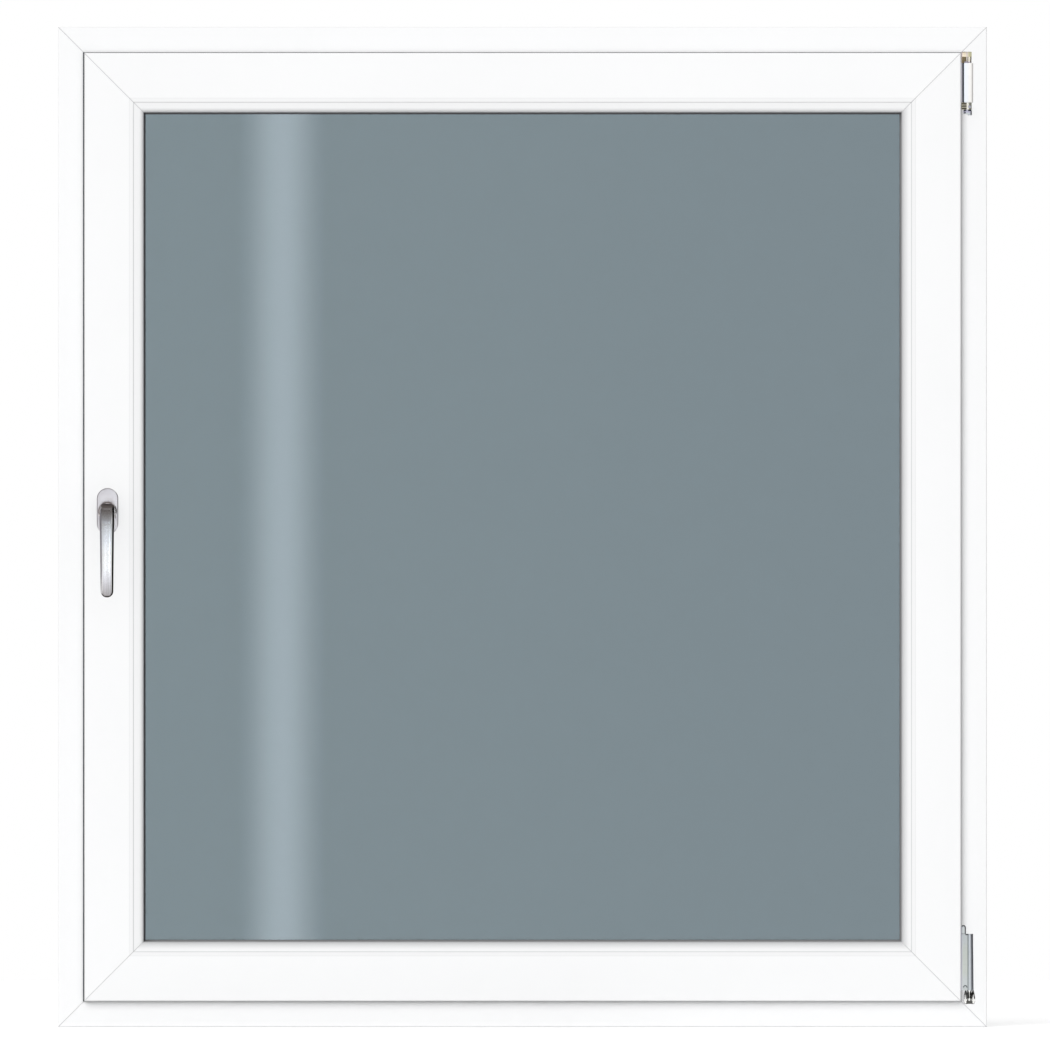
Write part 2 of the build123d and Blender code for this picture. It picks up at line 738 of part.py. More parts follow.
# Upper hinge end cap under the bracket's lug, with a grooved collar and a sloped foot
end_x = hinge_x + pin_bore + upper_end_wall - upper_end_width / 2
end_right = end_x + upper_end_width / 2
end_left = end_x - upper_end_width / 2
with BuildPart() as upper_hinge_end:
    with BuildSketch(Plane.XY.offset(upper_lug_bottom - upper_end_groove_height)):
        with Locations((end_x, hinge_y)):
            RectangleRounded(upper_end_width, upper_end_depth, upper_end_radius)
    extrude(amount=upper_end_groove_height - upper_end_height)
    with BuildSketch(Plane.XY.offset(upper_lug_bottom)):
        with Locations((end_x, hinge_y)):
            collar_width = upper_end_width - 2 * upper_end_groove_depth
            Rectangle(collar_width, upper_end_depth - 2 * upper_end_groove_depth)
    extrude(amount=-upper_end_groove_height)
    upper_end_bottom = upper_lug_bottom - upper_end_height
    with BuildSketch(wall_plane(hinge_y + upper_end_depth)):
        with BuildLine():
            Polyline(
                (end_left, upper_end_bottom),
                (end_left, upper_end_bottom + upper_end_slope),
                (end_right, upper_end_bottom),
                close=True,
            )
        make_face()
    extrude(amount=2 * upper_end_depth, mode=Mode.SUBTRACT)
    with BuildSketch(Plane.XY.offset(upper_lug_bottom)):
        with Locations((hinge_x, hinge_y)):
            Circle(pin_bore)
    extrude(amount=-upper_end_height, mode=Mode.SUBTRACT)
upper_hinge_end.part.label = "upper_hinge_end"
export_step(upper_hinge_end.part, "parts/upper_hinge_end.step")

# Upper hinge pin, from the end cap up to the bracket's head
with BuildPart() as upper_hinge_pin:
    with BuildSketch(Plane.XY.offset(upper_lug_bottom - upper_end_height)):
        with Locations((hinge_x, hinge_y)):
            Circle(pin_radius)
    extrude(amount=upper_neck_top - upper_lug_bottom + upper_end_height)
upper_hinge_pin.part.label = "upper_hinge_pin"
export_step(upper_hinge_pin.part, "parts/upper_hinge_pin.step")
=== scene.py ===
import bpy
import bmesh
import json
import math
from mathutils import Euler, Matrix, Vector


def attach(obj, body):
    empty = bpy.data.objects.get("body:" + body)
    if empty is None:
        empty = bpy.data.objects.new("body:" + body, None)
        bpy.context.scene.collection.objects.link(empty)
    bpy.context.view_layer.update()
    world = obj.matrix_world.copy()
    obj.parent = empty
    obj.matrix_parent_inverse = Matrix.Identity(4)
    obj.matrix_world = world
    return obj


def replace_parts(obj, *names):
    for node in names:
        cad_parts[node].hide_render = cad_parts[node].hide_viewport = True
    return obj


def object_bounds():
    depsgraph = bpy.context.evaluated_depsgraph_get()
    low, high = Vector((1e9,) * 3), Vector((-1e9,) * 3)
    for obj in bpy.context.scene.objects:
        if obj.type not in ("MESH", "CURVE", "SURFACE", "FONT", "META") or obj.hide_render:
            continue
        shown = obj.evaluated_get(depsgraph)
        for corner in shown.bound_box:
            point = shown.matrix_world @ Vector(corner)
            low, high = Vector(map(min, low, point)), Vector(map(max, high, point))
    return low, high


# A white plastic tilt-and-turn window: finishes, small fittings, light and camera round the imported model.
# Metres. The room is at -Y, the hinges are at +X.

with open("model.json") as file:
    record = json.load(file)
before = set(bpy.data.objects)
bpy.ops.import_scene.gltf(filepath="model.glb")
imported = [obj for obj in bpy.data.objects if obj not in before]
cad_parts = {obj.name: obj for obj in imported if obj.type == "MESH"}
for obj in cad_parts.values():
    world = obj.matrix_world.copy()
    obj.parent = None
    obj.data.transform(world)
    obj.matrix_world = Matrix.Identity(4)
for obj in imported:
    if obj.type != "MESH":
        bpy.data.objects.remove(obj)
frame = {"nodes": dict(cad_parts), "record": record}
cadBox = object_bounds()
nodes = frame["nodes"]
frameWidth = cadBox[1][0] - cadBox[0][0]
frameHeight = cadBox[1][2] - cadBox[0][2]
midHeight = frameHeight / 2
print("frame loaded:", len(nodes), "nodes")


# Shader maths: a Wire is one output socket, and sums on it add Math nodes

class Wire:
    def __init__(self, paint, socket):
        self.paint = paint
        self.socket = socket

    def calc(self, operation, *values):
        return self.paint.node("ShaderNodeMath", {"operation": operation}, dict(enumerate(values)))

    def __add__(self, other):
        return self.calc("ADD", self, other)

    def __radd__(self, other):
        return self.calc("ADD", other, self)

    def __sub__(self, other):
        return self.calc("SUBTRACT", self, other)

    def __rsub__(self, other):
        return self.calc("SUBTRACT", other, self)

    def __mul__(self, other):
        return self.calc("MULTIPLY", self, other)

    def __abs__(self):
        return self.calc("ABSOLUTE", self)

    def __lt__(self, other):
        return self.calc("LESS_THAN", self, other)

    def ramp(self, fromMin, fromMax, toMin=0.0, toMax=1.0):
        settings = {"interpolation_type": "SMOOTHSTEP", "clamp": True}
        ends = {"Value": self, "From Min": fromMin, "From Max": fromMax, "To Min": toMin, "To Max": toMax}
        return self.paint.node("ShaderNodeMapRange", settings, ends)

    # Up over one run of values and down again over another
    def between(self, rise, fall):
        return self.ramp(*rise) * (1 - self.ramp(*fall))


class Paint:
    def __init__(self, name, world=False):
        self.owner = bpy.context.scene.world if world else bpy.data.materials.new(name)
        self.owner.use_nodes = True
        self.tree = self.owner.node_tree
        self.tree.nodes.clear()

    def node(self, kind, settings=None, inputs=None, output=0):
        made = self.tree.nodes.new(kind)
        for key, value in (settings or {}).items():
            if key == "stops":
                ramp = made.color_ramp
                while len(ramp.elements) < len(value):
                    ramp.elements.new(0.5)
                for element, (place, colour) in zip(ramp.elements, value):
                    element.position = place
                    element.color = (*colour, 1.0)
            else:
                setattr(made, key, value)
        for key, value in (inputs or {}).items():
            if isinstance(value, Wire):
                self.tree.links.new(value.socket, made.inputs[key])
            else:
                made.inputs[key].default_value = value
        return Wire(self, made.outputs[output]) if made.outputs else None

    def place(self):
        return self.node("ShaderNodeTexCoord", output="Object")

    def axes(self, vector):
        return [self.node("ShaderNodeSeparateXYZ", {}, {0: vector}, output=axis) for axis in range(3)]

    def noise(self, vector, scale, detail=3.0, roughness=0.55):
        inputs = {"Vector": vector, "Scale": scale, "Detail": detail, "Roughness": roughness}
        return self.node("ShaderNodeTexNoise", {}, inputs)

    def mix(self, factor, first, second):
        settings = {"data_type": "RGBA", "clamp_factor": True}
        return self.node("ShaderNodeMix", settings, {0: factor, 6: first, 7: second}, output=2)

    # Along a mapped place, so that the noise is drawn out as its scales say
    def drawnNoise(self, vector, scales, detail, roughness):
        inputs = {"Vector": vector, "Scale": scales}
        mapped = self.node("ShaderNodeMapping", {"vector_type": "POINT"}, inputs)
        return self.noise(mapped, 1.0, detail, roughness)

    # How far in from the window's sides and ends a point is, and which run of profile it is on
    def windowPlace(self, x, z):
        side = frameWidth / 2 - abs(x)
        end = midHeight - abs(z - midHeight)
        inward = side.calc("MINIMUM", side, end)
        upright = side < end
        far = upright * (1 - (x < 0)) + (1 - upright) * (z < midHeight)
        return {"side": side, "end": end, "inward": inward, "upright": upright, "far": far}

    def bump(self, height, strength, distance):
        inputs = {"Height": height, "Strength": strength, "Distance": distance}
        return self.node("ShaderNodeBump", {}, inputs)

    def shader(self, inputs):
        surface = self.node("ShaderNodeBsdfPrincipled", {}, inputs)
        self.node("ShaderNodeOutputMaterial", {}, {"Surface": surface})
        return self.owner


def tint(red, green, blue):
    return (red, green, blue, 1.0)


# Noise entries are scale, detail and roughness; bump entries are strength and distance
plastic = {
    "white": (0.885, 0.888, 0.892),
    "shade": (0.86, 0.863, 0.868),
    "seam": tint(0.5, 0.5, 0.51),
    "seamWidth": 0.0011,
    "seamDepth": 0.8,
    "clouds": (2.3, 4.0),
    "cloudRamp": (0.35, 0.75, 0.0, 0.6),
    "speckle": (900.0, 2.0),
    "acrossGrain": 520.0,
    "alongGrain": 4.0,
    "grain": (1.0, 2.0),
    "relief": {"grain": 0.6, "speckle": 0.4},
    "bump": (0.12, 0.00012),
    "roughness": {"base": 0.3, "clouds": 0.09, "grain": 0.05, "seam": 0.15},
    "ior": 1.5,
}
beadPlastic = {
    "tone": 0.955,
    # inward distance, half width and depth of each fine line
    "lines": [(0.0996, 0.0007, 0.3), (0.1056, 0.0009, 0.75)],
    "front": -0.0455,
    # painted shade: the bead's nose is darkened on its right and bottom runs
    "noseShade": (0.1075, 0.119),
    "noseShadeDepth": 0.75,
}
# A dark band in the rubber's colour painted along the front of the sash's left edge: painted shade that
# widens the dark line of the lip and gap
sashEdgeShade = {"right": -0.6125, "front": -0.0494, "tone": tint(0.012, 0.013, 0.015)}


# Mitres show as fine lines where a point is as far in from a side as from an end of the window
def whitePlastic(name, shift, bead=None, edgeShade=None):
    paint = Paint(name)
    place = paint.place()
    x, y, z = paint.axes(place)
    spot = paint.windowPlace(x, z)
    tone = bead["tone"] if bead else 1.0
    seam = (1 - abs(spot["side"] - spot["end"]).ramp(0.0, plastic["seamWidth"])) * plastic["seamDepth"]
    if bead:
        for distance, halfWidth, depth in bead["lines"]:
            edge = (1 - abs(spot["inward"] - distance).ramp(0.0, halfWidth)) * depth * (y < bead["front"])
            seam = seam.calc("MAXIMUM", seam, edge)
        # painted shade on the bead's nose, right and bottom runs only, taken in with the seam lines
        noseShade = spot["inward"].ramp(*bead["noseShade"]) * bead["noseShadeDepth"] * spot["far"]
        seam = seam.calc("MAXIMUM", seam, noseShade)
    cloudScale, cloudDetail = plastic["clouds"]
    clouds = paint.noise(place, cloudScale + shift, cloudDetail)
    speckle = paint.noise(place, *plastic["speckle"])
    # die lines run along each length of profile
    across, along = plastic["acrossGrain"], plastic["alongGrain"]
    grainX = x * (along + spot["upright"] * (across - along))
    grainZ = z * (across - spot["upright"] * (across - along))
    grainPlace = paint.node("ShaderNodeCombineXYZ", {}, {0: grainX, 1: y * across, 2: grainZ})
    grain = paint.noise(grainPlace, *plastic["grain"])
    white, shade = (tint(*(tone * level for level in plastic[key])) for key in ("white", "shade"))
    body = paint.mix(clouds.ramp(*plastic["cloudRamp"]), white, shade)
    colour = paint.mix(seam, body, plastic["seam"])
    # painted shade: the dark band along the front of the sash's left edge
    if edgeShade:
        colour = paint.mix((x < edgeShade["right"]) * (y < edgeShade["front"]), colour, edgeShade["tone"])
    rough = plastic["roughness"]
    relief = plastic["relief"]
    return paint.shader({
        "Base Color": colour,
        "Roughness": (
            rough["base"] + clouds * rough["clouds"] + grain * rough["grain"] + seam * rough["seam"]
        ),
        "Normal": paint.bump(grain * relief["grain"] + speckle * relief["speckle"], *plastic["bump"]),
        "IOR": plastic["ior"],
    })


rubber = {
    "dark": tint(0.03, 0.034, 0.04),
    "bloom": tint(0.055, 0.06, 0.07),
    "lit": tint(0.2, 0.2, 0.205),
    "glazingFrom": (0.09, 0.1),
    "topShare": 0.6,
    "leftShare": 0.25,
    "bloomNoise": (38.0, 5.0, 0.65),
    "bloomRamp": (0.4, 0.72),
    "grain": (1600.0, 2.0),
    "bump": (0.35, 0.0002),
    "roughness": {"base": 0.6, "bloom": 0.2},
    "gloss": 0.35,
}


# Soft rubber. The glazing gasket is painted paler, as painted light, most on its right and bottom runs.
def gasketRubber(name):
    paint = Paint(name)
    place = paint.place()
    x, z = paint.axes(place)[::2]
    spot = paint.windowPlace(x, z)
    nearShare = rubber["topShare"] + spot["upright"] * (rubber["leftShare"] - rubber["topShare"])
    # painted light: the glazing gasket is turned pale, most on its right and bottom runs
    paintedLight = spot["inward"].ramp(*rubber["glazingFrom"]) * (spot["far"] + (1 - spot["far"]) * nearShare)
    bloom = paint.noise(place, *rubber["bloomNoise"])
    grain = paint.noise(place, *rubber["grain"])
    colour = paint.mix(bloom.ramp(*rubber["bloomRamp"]), rubber["dark"], rubber["bloom"])
    return paint.shader({
        "Base Color": paint.mix(paintedLight, colour, rubber["lit"]),
        "Roughness": rubber["roughness"]["base"] + bloom * rubber["roughness"]["bloom"],
        "Normal": paint.bump(grain, *rubber["bump"]),
        "Specular IOR Level": rubber["gloss"],
    })


# The panes are painted a little darker towards the right: painted shade
glass = {
    "left": tint(0.424, 0.485, 0.511),
    "right": tint(0.41, 0.467, 0.495),
    "wash": (1.1, 2.0),
    "washDepth": 0.1,
    "ior": 1.5,
    "roughness": 0.0,
}


def paneGlass(name):
    paint = Paint(name)
    place = paint.place()
    wash = paint.noise(place, *glass["wash"])
    side = paint.axes(place)[0] * (1 / frameWidth) + 0.5
    return paint.shader({
        "Base Color": paint.mix(side + (wash - 0.5) * glass["washDepth"], glass["left"], glass["right"]),
        "Roughness": glass["roughness"],
        "IOR": glass["ior"],
        "Transmission Weight": 1.0,
    })


spacer = {
    "bar": tint(0.07, 0.072, 0.078),
    "hole": tint(0.01, 0.01, 0.012),
    "pitch": 0.004,
    "jitter": 0.15,
    "holeRamp": (0.1, 0.22),
    "cloud": 60.0,
    "roughness": {"base": 0.5, "cloud": 0.2},
    "metallic": 0.4,
    "bump": (0.5, 0.0003),
}


def spacerBar(name):
    paint = Paint(name)
    place = paint.place()
    dots = paint.node("ShaderNodeTexVoronoi", {"feature": "F1"}, {
        "Vector": place,
        "Scale": 1 / spacer["pitch"],
        "Randomness": spacer["jitter"],
    })
    hole = 1 - dots.ramp(*spacer["holeRamp"])
    rough = spacer["roughness"]
    return paint.shader({
        "Base Color": paint.mix(hole, spacer["bar"], spacer["hole"]),
        "Roughness": rough["base"] + paint.noise(place, spacer["cloud"]) * rough["cloud"],
        "Metallic": spacer["metallic"],
        "Normal": paint.bump(1 - hole, *spacer["bump"]),
    })


rosetteMetal = {
    "bright": tint(0.73, 0.71, 0.73),
    "dull": tint(0.65, 0.63, 0.65),
    "grain": ((60.0, 2600.0, 2600.0), 4.0, 0.7),
    "patina": (45.0, 4.0),
    "marks": {"grain": 0.5, "patina": 0.25},
    "roughness": {"base": 0.22, "grain": 0.12, "patina": 0.06},
    "bump": (0.2, 0.00008),
}


# Satin metal with grain drawn level
def rosetteFinish(name):
    paint = Paint(name)
    place = paint.place()
    grain = paint.drawnNoise(place, *rosetteMetal["grain"])
    patina = paint.noise(place, *rosetteMetal["patina"])
    marks, rough = rosetteMetal["marks"], rosetteMetal["roughness"]
    worn = grain * marks["grain"] + patina * marks["patina"]
    return paint.shader({
        "Base Color": paint.mix(worn, rosetteMetal["bright"], rosetteMetal["dull"]),
        "Metallic": 1.0,
        "Roughness": rough["base"] + grain * rough["grain"] + patina * rough["patina"],
        "Normal": paint.bump(grain, *rosetteMetal["bump"]),
    })


# A colour that changes across a part, from stops at true X places
def acrossPart(paint, x, stops):
    first, last = stops[0][0], stops[-1][0]
    places = [((at - first) / (last - first), colour) for at, colour in stops]
    return paint.node("ShaderNodeValToRGB", {"stops": places}, {0: (x - first) * (1 / (last - first))})


# The lever's colour is painted reflection and shade: its grip goes from grey at the bend over blue to near
# white, with dark edges and a dark top painted by which way the surface faces.
# The grip's stops are heights from the handle's axis, the hub's stops are places across it and are painted
# shade.
leverMetal = {
    "axis": (-0.5805, 0.722),
    "grip": [
        (-0.1205, (0.92, 0.89, 0.9)), (-0.086, (0.98, 0.985, 1.0)), (-0.075, (0.95, 0.955, 0.96)),
        (-0.0689, (0.94, 0.945, 0.945)),
        (-0.0521, (0.89, 0.905, 0.925)), (-0.0409, (0.76, 0.785, 0.83)), (-0.0325, (0.67, 0.695, 0.73)),
        (-0.0241, (0.54, 0.555, 0.58)), (-0.0185, (0.42, 0.425, 0.43)), (-0.0129, (0.57, 0.57, 0.575)),
        (-0.0087, (0.66, 0.655, 0.655)), (-0.0045, (0.67, 0.66, 0.66)), (0.0, (0.64, 0.62, 0.615)),
        (0.0106, (0.6, 0.57, 0.56)),
    ],
    "grain": ((2600.0, 60.0, 45.0), 4.0, 0.7),
    "streaks": ((620.0, 15.0, 7.0), 3.0, 0.6),
    "streakRamp": (0.35, 0.65),
    "patina": (45.0, 4.0),
    "marks": {"grain": 0.12, "streaks": 0.24, "patina": 0.03},
    "marksTone": tint(0.42, 0.42, 0.43),
    "leftEdge": (0.2, 0.8),
    "left": tint(0.5, 0.49, 0.51),
    "rightEdge": (0.25, 0.4),
    "right": tint(0.02, 0.017, 0.015),
    "flank": (0.965, 0.985),
    "flankReflection": tint(0.55, 0.55, 0.56),
    "upEdge": (0.64, 0.84),
    "above": tint(0.125, 0.11, 0.105),
    "downEdge": (0.3, 0.6),
    "below": tint(0.12, 0.11, 0.108),
    "hub": [
        (-0.0136, (0.68, 0.63, 0.61)), (-0.006, (0.74, 0.69, 0.68)), (0.006, (0.72, 0.67, 0.66)),
        (0.0105, (0.64, 0.62, 0.62)), (0.0136, (0.66, 0.66, 0.68)),
    ],
    "hubDepth": (-0.0668, -0.0655),
    "roughness": {"base": 0.17, "grain": 0.1, "patina": 0.05},
    "bump": (0.08, 0.00008),
    "sheen": tint(0.4, 0.39, 0.39),
}


def leverFinish(name):
    paint = Paint(name)
    place = paint.place()
    x, y, z = paint.axes(place)
    faceX, faceZ = paint.axes(paint.node("ShaderNodeTexCoord", output="Normal"))[::2]
    across = x - leverMetal["axis"][0]
    up = z - leverMetal["axis"][1]
    grain = paint.drawnNoise(place, *leverMetal["grain"])
    streaks = paint.drawnNoise(place, *leverMetal["streaks"]).ramp(*leverMetal["streakRamp"])
    patina = paint.noise(place, *leverMetal["patina"])
    marks, rough = leverMetal["marks"], leverMetal["roughness"]
    worn = grain * marks["grain"] + streaks * marks["streaks"] + patina * marks["patina"]
    # painted reflection: the grip's tones by height from the axis
    arm = paint.mix(worn, acrossPart(paint, up, leverMetal["grip"]), leverMetal["marksTone"])
    # painted reflection and shade by facing: grey left, dark right, dark top and tip, grey flanks
    for facing, edge, tone in (
        (0 - faceX, "leftEdge", "left"), (faceX, "rightEdge", "right"), (faceZ, "upEdge", "above"),
        (0 - faceZ, "downEdge", "below"), (abs(faceX), "flank", "flankReflection"),
    ):
        arm = paint.mix(facing.ramp(*leverMetal[edge]), arm, leverMetal[tone])
    # painted shade on the hub, set by depth and across it
    colour = paint.mix(y.ramp(*leverMetal["hubDepth"]), arm, acrossPart(paint, across, leverMetal["hub"]))
    return paint.shader({
        "Base Color": colour,
        "Metallic": 1.0,
        "Roughness": rough["base"] + grain * rough["grain"] + patina * rough["patina"],
        "Normal": paint.bump(grain, *leverMetal["bump"]),
        "Specular Tint": leverMetal["sheen"],
    })


zinc = {
    "cells": 420.0,
    "cloud": (130.0, 5.0, 0.6),
    "speck": (1500.0, 2.0),
    "speckRelief": 0.5,
    "cellRamp": (0.2, 0.7),
    "tarnishRamp": (0.45, 0.8),
    "cloudRoughness": 0.18,
    "bump": (0.18, 0.0001),
}
spindleSteel = {
    "base": tint(0.5, 0.5, 0.5), "spangle": tint(0.4, 0.4, 0.4), "tarnish": tint(0.3, 0.3, 0.3),
    "roughness": 0.35,
}
# The pivot's plate against the frame is pale; the cup in front of it is painted dark, painted shade for its
# notch and gaps
pivotSteel = {
    "base": tint(0.13, 0.128, 0.12), "spangle": tint(0.1, 0.1, 0.095), "tarnish": tint(0.06, 0.06, 0.055),
    "roughness": 0.2, "plateFrom": (-0.0392, -0.0388), "plate": tint(0.7, 0.69, 0.71),
}


# What all bright zinc has: spangle cells, clouds and a fine relief
def zincGround(paint, place):
    inputs = {"Vector": place, "Scale": zinc["cells"]}
    cells = paint.node("ShaderNodeTexVoronoi", {"feature": "SMOOTH_F1"}, inputs)
    cloud = paint.noise(place, *zinc["cloud"])
    speck = paint.noise(place, *zinc["speck"])
    height = speck * zinc["speckRelief"] + cloud * (1 - zinc["speckRelief"])
    return cells, cloud, paint.bump(height, *zinc["bump"])


def zincPlate(name, tones):
    paint = Paint(name)
    place = paint.place()
    cells, cloud, normal = zincGround(paint, place)
    plated = paint.mix(cells.ramp(*zinc["cellRamp"]), tones["base"], tones["spangle"])
    colour = paint.mix(cloud.ramp(*zinc["tarnishRamp"]), plated, tones["tarnish"])
    if "plate" in tones:
        colour = paint.mix(paint.axes(place)[1].ramp(*tones["plateFrom"]), colour, tones["plate"])
    return paint.shader({
        "Base Color": colour,
        "Metallic": 1.0,
        "Roughness": tones["roughness"] + cloud * zinc["cloudRoughness"],
        "Normal": normal,
    })


# Yellow chromate over zinc: cream, pink and olive by turns, brown and dull in its recess, partly the
# chromate's own colour and partly painted shade. The lug's dark right side and dark rib grooves are painted
# shade.
yellowZinc = {
    "head": [
        (0.6143, (0.68, 0.56, 0.56)), (0.6154, (0.72, 0.6, 0.58)), (0.6162, (0.92, 0.8, 0.6)),
        (0.6205, (0.88, 0.79, 0.62)), (0.6218, (0.7, 0.62, 0.62)), (0.6232, (0.8, 0.72, 0.55)),
        (0.6248, (0.6, 0.57, 0.38)), (0.6287, (0.52, 0.5, 0.32)),
    ],
    "lug": [
        (0.6143, (0.78, 0.7, 0.52)), (0.6155, (0.43, 0.4, 0.31)), (0.6210, (0.38, 0.36, 0.3)),
        (0.6217, (0.86, 0.83, 0.74)), (0.6238, (0.93, 0.92, 0.86)), (0.6246, (0.3, 0.3, 0.25)),
        (0.6287, (0.16, 0.16, 0.13)),
    ],
    "recess": [
        (0.6143, (0.7, 0.55, 0.5)), (0.6152, (0.34, 0.28, 0.17)), (0.6195, (0.38, 0.31, 0.18)),
        (0.6206, (0.2, 0.16, 0.1)), (0.6215, (0.98, 0.92, 0.84)), (0.6268, (1.0, 0.95, 0.78)),
        (0.6276, (0.24, 0.21, 0.15)), (0.6300, (0.16, 0.14, 0.1)),
    ],
    "lilac": tint(0.86, 0.8, 0.92),
    "lilacTop": (1.3512, 1.3522),
    "lilacAcross": ((0.6180, 0.6195), (0.6272, 0.6278)),
    "lilacDepth": 0.85,
    "recessFrom": (-0.0503, -0.0488),
    "ribShade": tint(0.05, 0.045, 0.03),
    "ribFrom": (-0.0504, -0.0499),
    "lugTop": 1.3,
    "film": (420.0, 4.0),
    "filmShift": 0.0016,
    "speck": (1500.0, 2.0),
    "speckRelief": 0.5,
    "roughness": {"base": 0.24, "film": 0.14, "recess": 0.15},
    "bump": (0.2, 0.0001),
}


def yellowChromate(name):
    paint = Paint(name)
    place = paint.place()
    x, y, z = paint.axes(place)
    film = paint.noise(place, *yellowZinc["film"])
    speck = paint.noise(place, *yellowZinc["speck"])
    shifted = x + (film - 0.5) * yellowZinc["filmShift"]
    # painted shade in the recess, over the chromate's own brown
    depth = y.ramp(*yellowZinc["recessFrom"])
    lilac = (1 - z.ramp(*yellowZinc["lilacTop"])) * x.between(*yellowZinc["lilacAcross"])
    recess = acrossPart(paint, shifted, yellowZinc["recess"])
    recess = paint.mix(lilac * yellowZinc["lilacDepth"], recess, yellowZinc["lilac"])
    head = paint.mix(depth, acrossPart(paint, shifted, yellowZinc["head"]), recess)
    lug = acrossPart(paint, shifted, yellowZinc["lug"])
    # painted shade in the rib grooves
    lug = paint.mix(y.ramp(*yellowZinc["ribFrom"]), lug, yellowZinc["ribShade"])
    rough = yellowZinc["roughness"]
    height = speck * yellowZinc["speckRelief"] + film * (1 - yellowZinc["speckRelief"])
    return paint.shader({
        "Base Color": paint.mix(z < yellowZinc["lugTop"], head, lug),
        "Metallic": 1.0,
        "Roughness": rough["base"] + film * rough["film"] + depth * rough["recess"],
        "Normal": paint.bump(height, *yellowZinc["bump"]),
    })


# Painted shade: the band is lavender grey along the sash's edge, the colour of shaded plastic, and near
# black beyond it for the dark gap beside the cover
bandSteel = {
    "stops": [
        (0.6130, (0.6, 0.59, 0.64)), (0.6152, (0.63, 0.62, 0.67)), (0.6156, (0.06, 0.07, 0.09)),
        (0.6166, (0.022, 0.027, 0.04)), (0.6180, (0.02, 0.024, 0.034)), (0.6300, (0.03, 0.03, 0.04)),
    ],
    "grain": ((900.0, 900.0, 80.0), 4.0, 0.7),
    "cloud": (60.0, 4.0),
    "marks": {"grain": 0.3, "cloud": 0.15},
    "marksTone": tint(0.03, 0.032, 0.036),
    "roughness": {"base": 0.36, "grain": 0.15},
    "bump": (0.2, 0.00008),
}


def bandPaint(name):
    paint = Paint(name)
    place = paint.place()
    grain = paint.drawnNoise(place, *bandSteel["grain"])
    cloud = paint.noise(place, *bandSteel["cloud"])
    # painted shade: lavender at the sash's edge, near black beyond
    plated = acrossPart(paint, paint.axes(place)[0], bandSteel["stops"])
    marks, rough = bandSteel["marks"], bandSteel["roughness"]
    worn = grain * marks["grain"] + cloud * marks["cloud"]
    return paint.shader({
        "Base Color": paint.mix(worn, plated, bandSteel["marksTone"]),
        "Metallic": 1.0,
        "Roughness": rough["base"] + grain * rough["grain"],
        "Normal": paint.bump(grain, *bandSteel["bump"]),
    })


# Bright zinc plate: green in the middle as its own tint; the lavender at the sash's edge, the dark barrel
# side, and the dark groove, lip, collar and rims are painted shade.
# Each Across or Up entry is where a mark comes up and where it ends, along X or Z.
plateZinc = {
    "stops": [
        (0.6133, (0.48, 0.48, 0.54)), (0.6150, (0.53, 0.53, 0.58)), (0.6157, (0.58, 0.61, 0.615)),
        (0.6228, (0.58, 0.62, 0.62)), (0.6242, (0.6, 0.64, 0.67)), (0.6320, (0.58, 0.61, 0.66)),
    ],
    "waver": 0.0008,
    "barrelSide": (0.6271, 0.6284),
    "barrelShade": tint(0.2, 0.21, 0.235),
    "green": tint(0.57, 0.605, 0.56),
    "greenUp": ((0.066, 0.078), (0.11, 0.122)),
    "greenAcross": ((0.6152, 0.6162), (0.6225, 0.6232)),
    "greenDepth": 0.9,
    "spangle": tint(0.48, 0.5, 0.5),
    "spangleRamp": (0.2, 0.8),
    "spangleDepth": 0.25,
    "groove": tint(0.2, 0.22, 0.225),
    "grooveFrom": (-0.0516, -0.0512),
    "grooveAcross": ((0.6229, 0.6230), (0.6239, 0.6240)),
    "lipAcross": ((0.6221, 0.6228), (0.6240, 0.6246)),
    "lipDepth": 0.35,
    "rimShade": tint(0.05, 0.055, 0.065),
    "rimDepth": 0.95,
    "tab": (0.61695, 0.13955),
    "tabRim": (0.0016, 0.0022),
    "tabRimUp": (0.1303, 0.1306),
    "tabRimAcross": (0.6143, 0.6152),
    "topRimUp": (0.1286, 0.1292),
    "topRimAcross": ((0.6196, 0.6202), (0.6238, 0.6242)),
    "rivet": (0.6195, 0.0559),
    "rivetRing": ((0.0017, 0.0022), (0.0028, 0.0032)),
    "rivetRingUp": (-0.0016, 0.001),
    "lowerTop": 0.2,
    "collarUp": (1.2817, 1.2820),
    "collarTop": 1.2846,
    "collarGap": ((0.6206, 0.6212), (0.6232, 0.6238)),
    "collarShade": tint(0.04, 0.045, 0.06),
    "capTop": (1.2790, 1.2796),
    "capTone": tint(0.56, 0.56, 0.66),
    "roughness": {"base": 0.26, "cloud": 0.16},
}


def spread(across, up):
    return across.calc("SQRT", across * across + up * up)


